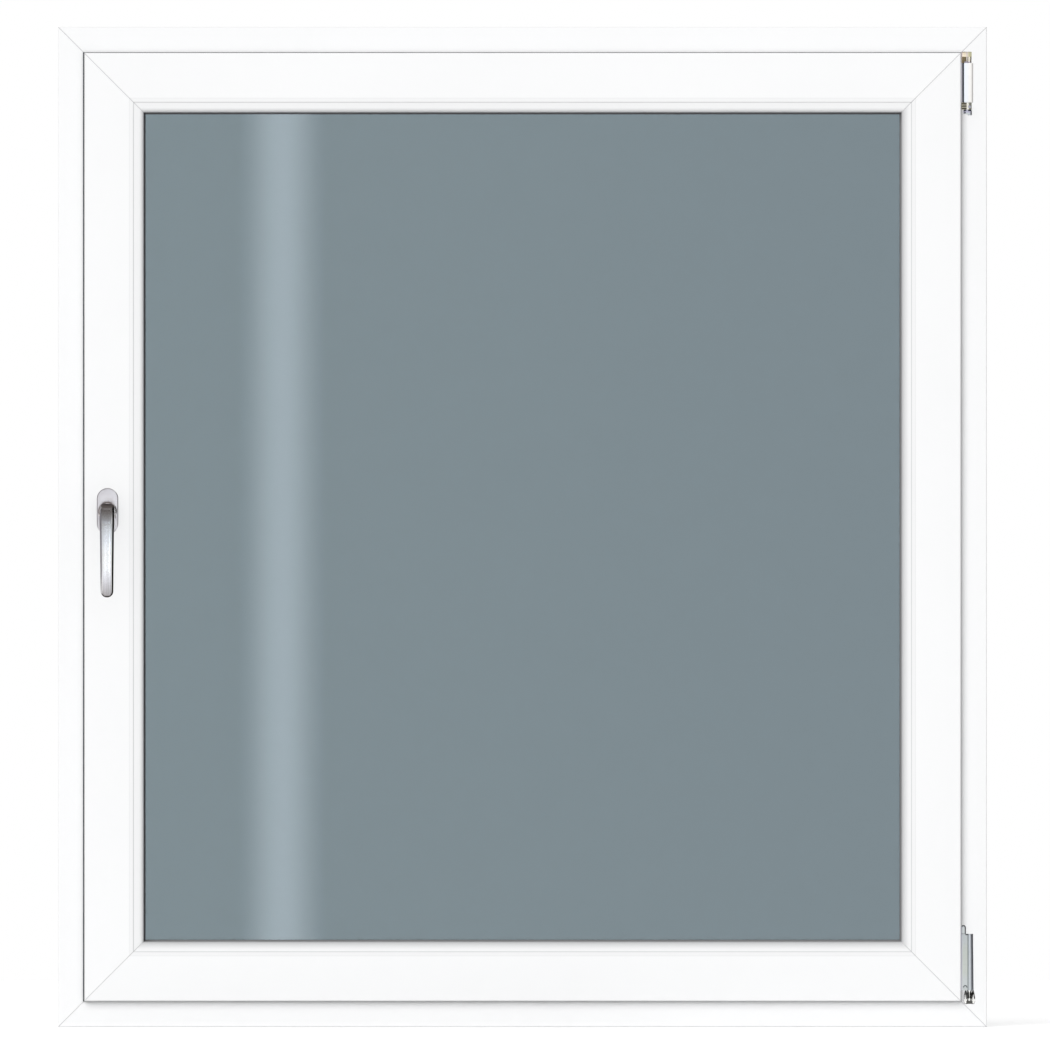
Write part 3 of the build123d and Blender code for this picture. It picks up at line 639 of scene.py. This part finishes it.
def plateFinish(name):
    paint = Paint(name)
    place = paint.place()
    x, y, z = paint.axes(place)
    cells, cloud, normal = zincGround(paint, place)
    # the lavender at the sash's edge is painted shade
    base = acrossPart(paint, x + (cloud - 0.5) * plateZinc["waver"], plateZinc["stops"])
    green = z.between(*plateZinc["greenUp"]) * x.between(*plateZinc["greenAcross"])
    tinted = paint.mix(green * plateZinc["greenDepth"], base, plateZinc["green"])
    spangled = cells.ramp(*plateZinc["spangleRamp"]) * plateZinc["spangleDepth"]
    tinted = paint.mix(spangled, tinted, plateZinc["spangle"])
    # painted shade in the groove and on its lip
    inGroove = y.ramp(*plateZinc["grooveFrom"]) * x.between(*plateZinc["grooveAcross"])
    onLip = x.between(*plateZinc["lipAcross"]) * plateZinc["lipDepth"]
    lower = paint.mix(inGroove.calc("MAXIMUM", inGroove, onLip), tinted, plateZinc["groove"])
    # painted shade on the barrel's right side
    lower = paint.mix(x.ramp(*plateZinc["barrelSide"]), lower, plateZinc["barrelShade"])
    # painted shade: dark rims round the tab, along the plate's top beside it, above the rivet
    tabX, tabZ = plateZinc["tab"]
    fromTab = spread(x - tabX, (z - tabZ).calc("MAXIMUM", z - tabZ, 0.0))
    tabRim = fromTab.ramp(*plateZinc["tabRim"]) * x.ramp(*plateZinc["tabRimAcross"])
    tabRim = tabRim * z.ramp(*plateZinc["tabRimUp"])
    topRim = z.ramp(*plateZinc["topRimUp"]) * x.between(*plateZinc["topRimAcross"])
    rivetX, rivetZ = plateZinc["rivet"]
    fromRivet = spread(x - rivetX, z - rivetZ)
    ring = fromRivet.between(*plateZinc["rivetRing"]) * (z - rivetZ).ramp(*plateZinc["rivetRingUp"])
    rims = tabRim.calc("MAXIMUM", tabRim, topRim.calc("MAXIMUM", topRim, ring))
    lower = paint.mix(rims * plateZinc["rimDepth"], lower, plateZinc["rimShade"])
    upper = paint.mix(z.ramp(*plateZinc["capTop"]), tinted, plateZinc["capTone"])
    colour = paint.mix(z < plateZinc["lowerTop"], upper, lower)
    # painted shade in the collar's groove
    collar = z.ramp(*plateZinc["collarUp"]) * (z < plateZinc["collarTop"])
    collar = collar * (1 - x.between(*plateZinc["collarGap"]))
    rough = plateZinc["roughness"]
    return paint.shader({
        "Base Color": paint.mix(collar, colour, plateZinc["collarShade"]),
        "Metallic": 1.0,
        "Roughness": rough["base"] + cloud * rough["cloud"],
        "Normal": normal,
    })


moulding = {"cloud": (30.0, 3.0), "peel": (700.0, 2.0), "cloudRoughness": 0.08, "bump": (0.1, 0.0001)}
# The cover's grey right edge is painted shade; across it the plastic goes from bluish to warm white.
coverTint = {
    "stops": [
        (0.6172, (0.8, 0.86, 0.93)), (0.6195, (0.82, 0.88, 0.96)), (0.6225, (0.86, 0.88, 0.93)),
        (0.6255, (0.9, 0.89, 0.86)), (0.6285, (0.88, 0.86, 0.83)), (0.6290, (0.66, 0.64, 0.62)),
        (0.6308, (0.6, 0.58, 0.56)),
    ],
    "dull": tint(0.76, 0.77, 0.8),
    "dullDepth": 0.2,
    "roughness": 0.24,
}
capTint = {
    "bright": tint(0.8, 0.8, 0.8),
    "dull": tint(0.75, 0.75, 0.76),
    "dullDepth": 1.0,
    "roughness": 0.4,
}


def mouldedPlastic(name, tones):
    paint = Paint(name)
    place = paint.place()
    cloud = paint.noise(place, *moulding["cloud"])
    peel = paint.noise(place, *moulding["peel"])
    body = acrossPart(paint, paint.axes(place)[0], tones["stops"]) if "stops" in tones else tones["bright"]
    return paint.shader({
        "Base Color": paint.mix(cloud * tones["dullDepth"], body, tones["dull"]),
        "Roughness": tones["roughness"] + cloud * moulding["cloudRoughness"],
        "Normal": paint.bump(peel, *moulding["bump"]),
    })


finishes = {
    "frame_pvc": whitePlastic("frame_plastic", 0.0),
    "sash_pvc": whitePlastic("sash_plastic", 0.6, edgeShade=sashEdgeShade),
    "bead_pvc": whitePlastic("bead_plastic", 1.3, bead=beadPlastic),
    "gasket_rubber": gasketRubber("gasket_rubber"),
    "clear_glass": paneGlass("pane_glass"),
    "spacer_bar": spacerBar("spacer_bar"),
    "satin_lever": leverFinish("lever_aluminium"),
    "satin_rosette": rosetteFinish("rosette_aluminium"),
    "spindle_steel": zincPlate("spindle_steel", spindleSteel),
    "yellow_zinc": yellowChromate("yellow_zinc"),
    "dark_steel": bandPaint("dark_steel"),
    "cover_plastic": mouldedPlastic("cover_plastic", coverTint),
    "bright_zinc": plateFinish("bright_zinc"),
    "pivot_steel": zincPlate("pivot_steel", pivotSteel),
    "cap_plastic": mouldedPlastic("cap_plastic", capTint),
}
for row in frame["record"]["subparts"]:
    mesh = nodes[row["node"]].data
    mesh.materials.clear()
    mesh.materials.append(finishes[row["material_slot"]])
for name in ("glass_inner_pane", "glass_outer_pane"):
    nodes[name].visible_shadow = False
print("finishes set:", len(finishes))


# Smooth the curved CAD faces: merge the loose triangles, round the hardware's edges, split what stays hard
smoothing = {
    "weld": 0.000002,
    "hardAngle": math.radians(28),
    "flatAngle": math.radians(0.4),
    "bevelAngle": math.radians(30),
    "seam": 0.000001,
    "samePlace": 0.00000001,
    "segments": 3,
    "rounds": {
        "handle_rosette": 0.0006,
        "upper_hinge_cover": 0.0009,
        "upper_hinge_bracket": 0.0003,
        "upper_hinge_end": 0.0003,
        "lower_hinge_band": 0.0003,
    },
}


def splitHardEdges(piece):
    split = piece.modifiers.new("hard edges", "EDGE_SPLIT")
    split.split_angle = smoothing["hardAngle"]


def smoothNode(name, node):
    node.data.polygons.foreach_set("use_smooth", [True] * len(node.data.polygons))
    weld = node.modifiers.new("weld", "WELD")
    weld.merge_threshold = smoothing["weld"]
    if name in smoothing["rounds"]:
        flat = node.modifiers.new("flat faces", "DECIMATE")
        flat.decimate_type = "DISSOLVE"
        flat.angle_limit = smoothing["flatAngle"]
        bevel = node.modifiers.new("rounded edges", "BEVEL")
        bevel.width = smoothing["rounds"][name]
        bevel.segments = smoothing["segments"]
        bevel.limit_method = "ANGLE"
        bevel.angle_limit = smoothing["bevelAngle"]
    splitHardEdges(node)


for name, node in nodes.items():
    smoothNode(name, node)
    if name.startswith(("upper_hinge", "lower_hinge", "lower_pivot", "handle_rosette")):
        node.visible_shadow = node.visible_diffuse = False  # plastic beside a fitting is white in the photo
print("curved faces smoothed")


def linkPiece(name, shape, finish):
    bmesh.ops.recalc_face_normals(shape, faces=shape.faces)
    mesh = bpy.data.meshes.new(name)
    shape.to_mesh(mesh)
    shape.free()
    mesh.polygons.foreach_set("use_smooth", [True] * len(mesh.polygons))
    mesh.materials.append(finish)
    piece = bpy.data.objects.new(name, mesh)
    bpy.context.scene.collection.objects.link(piece)
    return piece


# A line of points spun round an axis
def turnedShape(points, centre, axis, steps):
    shape = bmesh.new()
    corners = [shape.verts.new(point) for point in points]
    edges = [shape.edges.new(pair) for pair in zip(corners, corners[1:])]
    bmesh.ops.spin(
        shape, geom=corners + edges, cent=centre, axis=axis, angle=2 * math.pi, steps=steps, use_merge=True
    )
    bmesh.ops.remove_doubles(shape, verts=shape.verts, dist=smoothing["seam"])
    return shape


# The lever's arm, drawn out of a rounded neck section: round the bend, down the grip and in at the tip.
# Places are (y, z) from the handle's axis, on the room side and on the back of the arm.
lever = {
    "width": 0.0204,
    "tipWidth": 0.0176,
    "height": 0.0186,
    "corner": 0.005,
    "cornerSegments": 7,
    "neck": [((-0.0632, 0.0106), (-0.0632, -0.008)), ((-0.071, 0.0106), (-0.073, -0.008))],
    "outerBend": {"centre": (-0.0783, -0.0184), "radius": 0.02895},
    "innerBend": {"centre": (-0.0831, -0.021), "radius": 0.013},
    "bendSteps": 10,
    "gripTop": 0.0106,
    "taperTop": 0.0056,
    "front": {"top": -0.10795, "slope": 0.0248},
    "back": {"top": -0.0967, "slope": 0.0308},
    "bow": {"from": -0.075, "length": 0.045, "front": 0.28, "back": 0.16},
    "levels": [
        -0.026, -0.034, -0.044, -0.056, -0.067, -0.075, -0.080, -0.086, -0.092, -0.097, -0.103, -0.108,
    ],
    "tip": -0.1205,
    "tipRadius": 0.0086,
    "tipEdge": 0.0024,
    "tipSteps": [0.0086, 0.0066, 0.0048, 0.0033, 0.0021, 0.0012, 0.0005, 0.0001],
}


def gripPlace(side, level):
    # Y of the grip's front or back at a level below the axis, with the bow eased in
    line = lever[side]
    bow = lever["bow"]
    eased = min(max(bow["from"] - level, 0.0), bow["length"])
    past = max(bow["from"] - bow["length"] - level, 0.0)
    curve = bow[side] * (eased ** 2 / (2 * bow["length"]) + past)
    return line["top"] - line["slope"] * (level - lever["gripTop"]) + curve


def gripWidth(level):
    taper = (lever["width"] - lever["tipWidth"]) / (lever["taperTop"] - lever["tip"])
    return lever["width"] - taper * (lever["taperTop"] - level)


def leverSections():
    # Each section: front point, back point, width
    sections = [(front, back, lever["width"]) for front, back in lever["neck"]]
    for step in range(lever["bendSteps"] + 1):
        turn = math.pi / 2 * step / lever["bendSteps"]
        ends = []
        for bend in (lever["outerBend"], lever["innerBend"]):
            centre, radius = bend["centre"], bend["radius"]
            ends.append((centre[0] - radius * math.sin(turn), centre[1] + radius * math.cos(turn)))
        sections.append((ends[0], ends[1], lever["width"]))
    for level in lever["levels"]:
        front, back = ((gripPlace(side, level), level) for side in ("front", "back"))
        sections.append((front, back, gripWidth(level)))
    radius, edge = lever["tipRadius"], lever["tipEdge"]
    for rise in lever["tipSteps"]:
        level = lever["tip"] + rise
        width = gripWidth(level) - 2 * radius + 2 * math.sqrt(radius ** 2 - (radius - rise) ** 2)
        inset = edge - math.sqrt(edge ** 2 - max(edge - rise, 0.0) ** 2)
        front = (gripPlace("front", level) + inset, level)
        back = (gripPlace("back", level) - inset, level)
        sections.append((front, back, width))
    return sections


def sectionMatrix(front, back, width):
    axisX, axisZ = leverMetal["axis"]
    front = Vector((axisX, front[0], axisZ + front[1]))
    back = Vector((axisX, back[0], axisZ + back[1]))
    across = Vector((1, 0, 0))
    through = back - front
    along = across.cross(through).normalized()
    scaled = Matrix.Identity(4)
    for row in range(3):
        scaled[row][0] = across[row] * width
        scaled[row][1] = through[row]
        scaled[row][2] = along[row]
        scaled[row][3] = (front[row] + back[row]) / 2
    return scaled


def makeLever():
    shape = bmesh.new()
    bmesh.ops.create_grid(shape, x_segments=1, y_segments=1, size=0.5)
    bmesh.ops.scale(shape, verts=shape.verts, vec=(lever["width"], lever["height"], 1.0))
    bmesh.ops.bevel(
        shape, geom=list(shape.verts), offset=lever["corner"], affect="VERTICES",
        segments=lever["cornerSegments"], profile=0.5, material=-1,
    )
    bmesh.ops.scale(shape, verts=shape.verts, vec=(1 / lever["width"], 1 / lever["height"], 1.0))
    placed = Matrix.Identity(4)
    ring = [edge for edge in shape.edges if len(edge.link_faces) == 1]
    verts = list(shape.verts)
    for index, section in enumerate(leverSections()):
        if index:
            drawn = bmesh.ops.extrude_edge_only(shape, edges=ring)["geom"]
            verts = [item for item in drawn if isinstance(item, bmesh.types.BMVert)]
            drawnEdges = [item for item in drawn if isinstance(item, bmesh.types.BMEdge)]
            ring = [edge for edge in drawnEdges if edge.verts[0] in verts and edge.verts[1] in verts]
        goal = sectionMatrix(*section)
        bmesh.ops.transform(shape, matrix=goal @ placed.inverted(), verts=verts)
        placed = goal
    bmesh.ops.contextual_create(shape, geom=ring)
    piece = linkPiece("lever_arm", shape, finishes["satin_lever"])
    smooth = piece.modifiers.new("smooth", "SUBSURF")
    smooth.levels = smooth.render_levels = 1
    piece.visible_shadow = False  # the sash beside the arm stays white in the photo
    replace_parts(piece, "handle_lever")
    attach(piece, "handle")


# The hub that turns on the rosette: half its outline, (radius, y), spun round the handle's axis
hub = {
    "outline": [
        (0.0, -0.0642), (0.0112, -0.0642), (0.0117, -0.0638), (0.0121, -0.0641), (0.0127, -0.0637),
        (0.0133, -0.0629), (0.0135, -0.062), (0.0135, -0.0593), (0.0085, -0.0593), (0.0085, -0.0503),
        (0.0, -0.0503),
    ],
    "steps": 72,
}


def makeHub():
    axisX, axisZ = leverMetal["axis"]
    points = [(axisX + radius, y, axisZ) for radius, y in hub["outline"]]
    shape = turnedShape(points, (axisX, 0, axisZ), (0, 1, 0), hub["steps"])
    piece = linkPiece("lever_hub", shape, finishes["satin_lever"])
    piece.visible_shadow = False
    splitHardEdges(piece)
    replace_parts(piece, "handle_lever")
    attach(piece, "handle")


makeLever()
makeHub()
print("handle made")


# Small fasteners on the hinges, each a turned head. Its steps are (inset, rise) from the rim inward.
fasteners = {
    "lower_band_rivet": {
        "at": (0.6195, -0.0518, 0.0559), "radius": 0.0024, "sides": 40, "slot": "bright_zinc",
        "steps": [
            (0.0, 0.00012), (0.0002, 0.0), (0.0002, -0.00018), (0.0001, 0.00035), (0.0004, 0.0002),
            (0.0006, 0.0001),
        ],
    },
    "lower_tab_rivet": {
        "at": (0.6171, -0.0518, 0.1397), "radius": 0.0016, "sides": 32, "slot": "bright_zinc",
        "steps": [(0.0, 0.00015), (0.0003, 0.00015), (0.0004, 0.00008), (0.0004, 0.00003)],
    },
    "upper_lug_screw": {
        "at": (0.6256, -0.0505, 1.2881), "radius": 0.0019, "sides": 40, "slot": "bright_zinc",
        "steps": [(0.0, 0.0006), (0.0003, 0.0003), (0.0004, 0.0001), (0.0002, -0.0006), (0.0002, -0.0003)],
    },
    "upper_end_screw": {
        "at": (0.6192, -0.0520, 1.2797), "radius": 0.0011, "sides": 28, "slot": "dark_steel",
        "steps": [(0.0, 0.0002), (0.0002, 0.0001), (0.0003, -0.0003)],
    },
}


def makeFastener(name, part):
    shape = bmesh.new()
    made = bmesh.ops.create_circle(shape, cap_ends=True, segments=part["sides"], radius=part["radius"])
    top = made["verts"][0].link_faces[0]
    bmesh.ops.duplicate(shape, geom=[top])  # a second disc closes the back
    for inset, rise in part["steps"]:
        bmesh.ops.inset_individual(shape, faces=[top], thickness=inset, depth=rise, use_even_offset=True)
    bmesh.ops.remove_doubles(shape, verts=shape.verts, dist=smoothing["samePlace"])
    turn = Euler((math.radians(90), 0, 0)).to_matrix()
    bmesh.ops.rotate(shape, verts=shape.verts, matrix=turn)
    bmesh.ops.translate(shape, verts=shape.verts, vec=part["at"])
    piece = linkPiece(name, shape, finishes[part["slot"]])
    splitHardEdges(piece)
    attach(piece, "window")


for name, part in fasteners.items():
    makeFastener(name, part)
print("fasteners made:", len(fasteners))


# The lower pivot's polished parts, turned on upright axes: a pin with cone and ball, and the cup's lobes
pivot = {
    "axis": (0.6254, -0.0465),
    "cone": [
        (0.0, 0.0515), (0.0034, 0.0515), (0.0031, 0.0496), (0.0022, 0.0463), (0.0014, 0.0437),
        (0.0013, 0.0428),
    ],
    "ball": {"level": 0.0398, "radius": 0.0031, "from": 28, "steps": 14},
    "lobe": {
        "out": 0.0054, "forward": 0.0047, "level": 0.0396, "radius": 0.0027, "height": 0.0064, "steps": 18,
    },
    "spin": 40,
    "chrome": {
        "base": tint(0.9, 0.9, 0.88), "spangle": tint(0.84, 0.84, 0.82), "tarnish": tint(0.66, 0.66, 0.64),
        "roughness": 0.06,
    },
}
chrome = zincPlate("pivot_chrome", pivot["chrome"])


def turnedPiece(name, outline, centre):
    points = [(centre[0] + radius, centre[1], z) for radius, z in outline]
    shape = turnedShape(points, (*centre, 0), (0, 0, 1), pivot["spin"])
    piece = linkPiece(name, shape, chrome)
    piece.visible_shadow = piece.visible_diffuse = False
    splitHardEdges(piece)
    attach(piece, "window")
    return piece


def makePivot():
    axisX, axisY = pivot["axis"]
    ball, lobe = pivot["ball"], pivot["lobe"]
    outline = list(pivot["cone"])
    for step in range(ball["steps"] + 1):
        turn = math.radians(ball["from"] + (180 - ball["from"]) * step / ball["steps"])
        outline.append((ball["radius"] * math.sin(turn), ball["level"] + ball["radius"] * math.cos(turn)))
    outline[-1] = (0.0, outline[-1][1])
    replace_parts(turnedPiece("pivot_pin_polished", outline, pivot["axis"]), "lower_pivot_pin")
    turns = [math.pi * step / lobe["steps"] for step in range(lobe["steps"] + 1)]
    egg = []
    for turn in turns:
        egg.append((lobe["radius"] * math.sin(turn), lobe["level"] + lobe["height"] * math.cos(turn)))
    egg[0], egg[-1] = (0.0, egg[0][1]), (0.0, egg[-1][1])
    for name, side in (("pivot_lobe_left", -1), ("pivot_lobe_right", 1)):
        turnedPiece(name, egg, (axisX + side * lobe["out"], axisY - lobe["forward"]))


makePivot()
print("pivot made")


# Stage: a large pale floor that keeps the shadow and meets the white background
stage = {"floorSize": 6.0, "drop": 0.0004, "albedo": 0.8, "lift": 0.45, "worldLight": 0.575}


def stageBoard(name, shape, finish):
    mesh = bpy.data.meshes.new(name)
    shape.to_mesh(mesh)
    shape.free()
    mesh.materials.append(finish)
    board = bpy.data.objects.new(name, mesh)
    bpy.context.scene.collection.objects.link(board)
    board.visible_shadow = False  # the key's wide disc reaches below the horizon
    return board


def seenOnly(paint):
    camera, glossy, transmission = (paint.node("ShaderNodeLightPath", output=kind) for kind in (
        "Is Camera Ray", "Is Glossy Ray", "Is Transmission Ray",
    ))
    return camera.calc("MAXIMUM", camera.calc("MAXIMUM", camera, glossy), transmission)


def makeFloor():
    shape = bmesh.new()
    bmesh.ops.create_grid(shape, x_segments=1, y_segments=1, size=stage["floorSize"] / 2)
    bmesh.ops.translate(shape, verts=shape.verts, vec=(0, 0, cadBox[0][2] - stage["drop"]))
    paint = Paint("floor_paint")
    albedo = stage["albedo"]
    lift = seenOnly(paint) * stage["lift"]
    lit = paint.node("ShaderNodeBsdfDiffuse", {}, {"Color": tint(albedo, albedo, albedo)})
    glow = paint.node("ShaderNodeEmission", {}, {"Color": tint(1, 1, 1), "Strength": lift})
    surface = paint.node("ShaderNodeAddShader", {}, {0: lit, 1: glow})
    paint.node("ShaderNodeOutputMaterial", {}, {"Surface": surface})
    stageBoard("floor", shape, paint.owner)


makeFloor()

if bpy.context.scene.world is None:
    bpy.context.scene.world = bpy.data.worlds.new("studio")
sky = Paint("studio", world=True)
skyStrength = seenOnly(sky) * (1 - stage["worldLight"]) + stage["worldLight"]
skyLight = sky.node("ShaderNodeBackground", {}, {"Color": tint(1, 1, 1), "Strength": skyStrength})
sky.node("ShaderNodeOutputWorld", {}, {"Surface": skyLight})


# Key light from the upper left of the room side, broad enough for soft edges
key = {"from": Vector((-0.36, -1.0, 0.46)), "strength": 1.84, "angle": math.radians(44)}


def makeKey():
    lamp = bpy.data.lights.new("key", "SUN")
    lamp.energy = key["strength"]
    lamp.angle = key["angle"]
    holder = bpy.data.objects.new("key", lamp)
    holder.rotation_euler = key["from"].to_track_quat("Z", "Y").to_euler()
    holder.visible_glossy = False  # metal and glass mirror the cards, not the lamp
    holder.visible_transmission = False
    bpy.context.scene.collection.objects.link(holder)


makeKey()


# Cards that only reflections see. Each is a board with soft edges and a run of tones along its length:
# a tall strip for the glass, a ceiling, a low board and two side flags for the metal
cards = {
    "strip": {
        "centre": (-0.382, -4.0, 0.7), "size": (0.15, 1.7), "turn": (90, 0, 0),
        "soft": (0.5, 0.02), "adds": True,
        "tones": [(0.0, (3.4, 3.85, 4.2)), (1.0, (3.4, 3.85, 4.2))],
    },
    "ceiling": {
        "centre": (-1.9, -7.5, 3.1), "size": (7.0, 33.0), "turn": (0, 0, 0),
        "soft": (0.2, 0.15), "adds": False,
        "tones": [
            (0.0, (0.93, 0.96, 1.0)), (0.315, (0.8, 0.84, 0.92)), (0.46, (0.66, 0.68, 0.73)),
            (0.53, (0.54, 0.55, 0.58)), (0.603, (0.42, 0.42, 0.43)), (0.65, (0.33, 0.325, 0.325)),
            (0.682, (0.27, 0.26, 0.257)), (0.703, (0.22, 0.205, 0.2)), (0.724, (0.18, 0.165, 0.16)),
            (1.0, (0.14, 0.13, 0.125)),
        ],
    },
    "lowBoard": {
        "centre": (-0.6, -1.8, 0.006), "size": (1.8, 4.2), "turn": (0, 0, 0),
        "soft": (0.15, 0.02), "adds": False,
        "tones": [
            (0.0, (1.0, 1.0, 1.0)), (0.3, (0.93, 0.95, 1.0)), (0.455, (0.84, 0.85, 0.9)),
            (0.605, (0.6, 0.6, 0.62)),
            (0.67, (0.47, 0.46, 0.465)), (0.786, (0.36, 0.35, 0.35)), (0.893, (0.12, 0.11, 0.105)),
            (1.0, (0.1, 0.09, 0.09)),
        ],
    },
    "rightFlag": {
        "centre": (2.6, -0.6, 0.8), "size": (5.0, 5.0), "turn": (90, 0, 90),
        "soft": (0.15, 0.1), "adds": False,
        "tones": [(0.0, (0.045, 0.04, 0.035)), (1.0, (0.045, 0.04, 0.035))],
    },
    "leftFlag": {
        "centre": (-2.6, -0.6, 0.8), "size": (5.0, 5.0), "turn": (90, 0, 90),
        "soft": (0.15, 0.1), "adds": False,
        "tones": [(0.0, (0.36, 0.35, 0.37)), (1.0, (0.36, 0.35, 0.37))],
    },
}


def makeCard(name):
    card = cards[name]
    shape = bmesh.new()
    bmesh.ops.create_grid(shape, x_segments=1, y_segments=1, size=0.5)
    uvLayer = shape.loops.layers.uv.verify()
    for face in shape.faces:
        for loop in face.loops:
            loop[uvLayer].uv = (loop.vert.co.x + 0.5, loop.vert.co.y + 0.5)
    bmesh.ops.scale(shape, verts=shape.verts, vec=(card["size"][0], card["size"][1], 1.0))
    turn = Euler([math.radians(angle) for angle in card["turn"]]).to_matrix()
    bmesh.ops.rotate(shape, verts=shape.verts, matrix=turn)
    bmesh.ops.translate(shape, verts=shape.verts, vec=card["centre"])
    paint = Paint(name + "_cloth")
    across, along = paint.axes(paint.node("ShaderNodeTexCoord", output="UV"))[:2]
    fadeAcross = (0.5 - abs(across - 0.5)).ramp(0.0, card["soft"][0])
    fade = fadeAcross * (0.5 - abs(along - 0.5)).ramp(0.0, card["soft"][1])
    colour = paint.node("ShaderNodeValToRGB", {"stops": card["tones"]}, {0: along})
    clear = paint.node("ShaderNodeBsdfTransparent", {}, {"Color": tint(1, 1, 1)})
    if card["adds"]:
        glow = paint.node("ShaderNodeEmission", {}, {"Color": colour, "Strength": fade})
        surface = paint.node("ShaderNodeAddShader", {}, {0: glow, 1: clear})
    else:
        glow = paint.node("ShaderNodeEmission", {}, {"Color": colour, "Strength": 1.0})
        surface = paint.node("ShaderNodeMixShader", {}, {0: fade, 1: clear, 2: glow})
    paint.node("ShaderNodeOutputMaterial", {}, {"Surface": surface})
    board = stageBoard(name, shape, paint.owner)
    board.visible_camera = board.visible_diffuse = board.visible_transmission = False


for name in cards:
    makeCard(name)
print("stage and lamps set")


# Camera: square on, far off with a long lens, framed as in the photograph
view = {
    "photoPixels": 1050,
    "metresPerPixel": 0.0014,
    "centrePixel": (522.5, 1027.0),
    "faceLevel": -0.035,
    "distance": 30.0,
    "sensor": 36.0,
    "clipEnd": 1000.0,
}


def makeCamera():
    lens = bpy.data.cameras.new("camera")
    span = view["photoPixels"] * view["metresPerPixel"]
    lens.sensor_width = view["sensor"]
    lens.lens = view["sensor"] * view["distance"] / span
    lens.clip_end = view["clipEnd"]
    holder = bpy.data.objects.new("camera", lens)
    half = view["photoPixels"] / 2
    holder.location = (
        (half - view["centrePixel"][0]) * view["metresPerPixel"],
        view["faceLevel"] - view["distance"],
        (view["centrePixel"][1] - half) * view["metresPerPixel"],
    )
    holder.rotation_euler = (math.radians(90), 0, 0)
    bpy.context.scene.collection.objects.link(holder)
    bpy.context.scene.camera = holder


makeCamera()
bpy.context.scene.view_settings.view_transform = "Standard"
print("camera set")
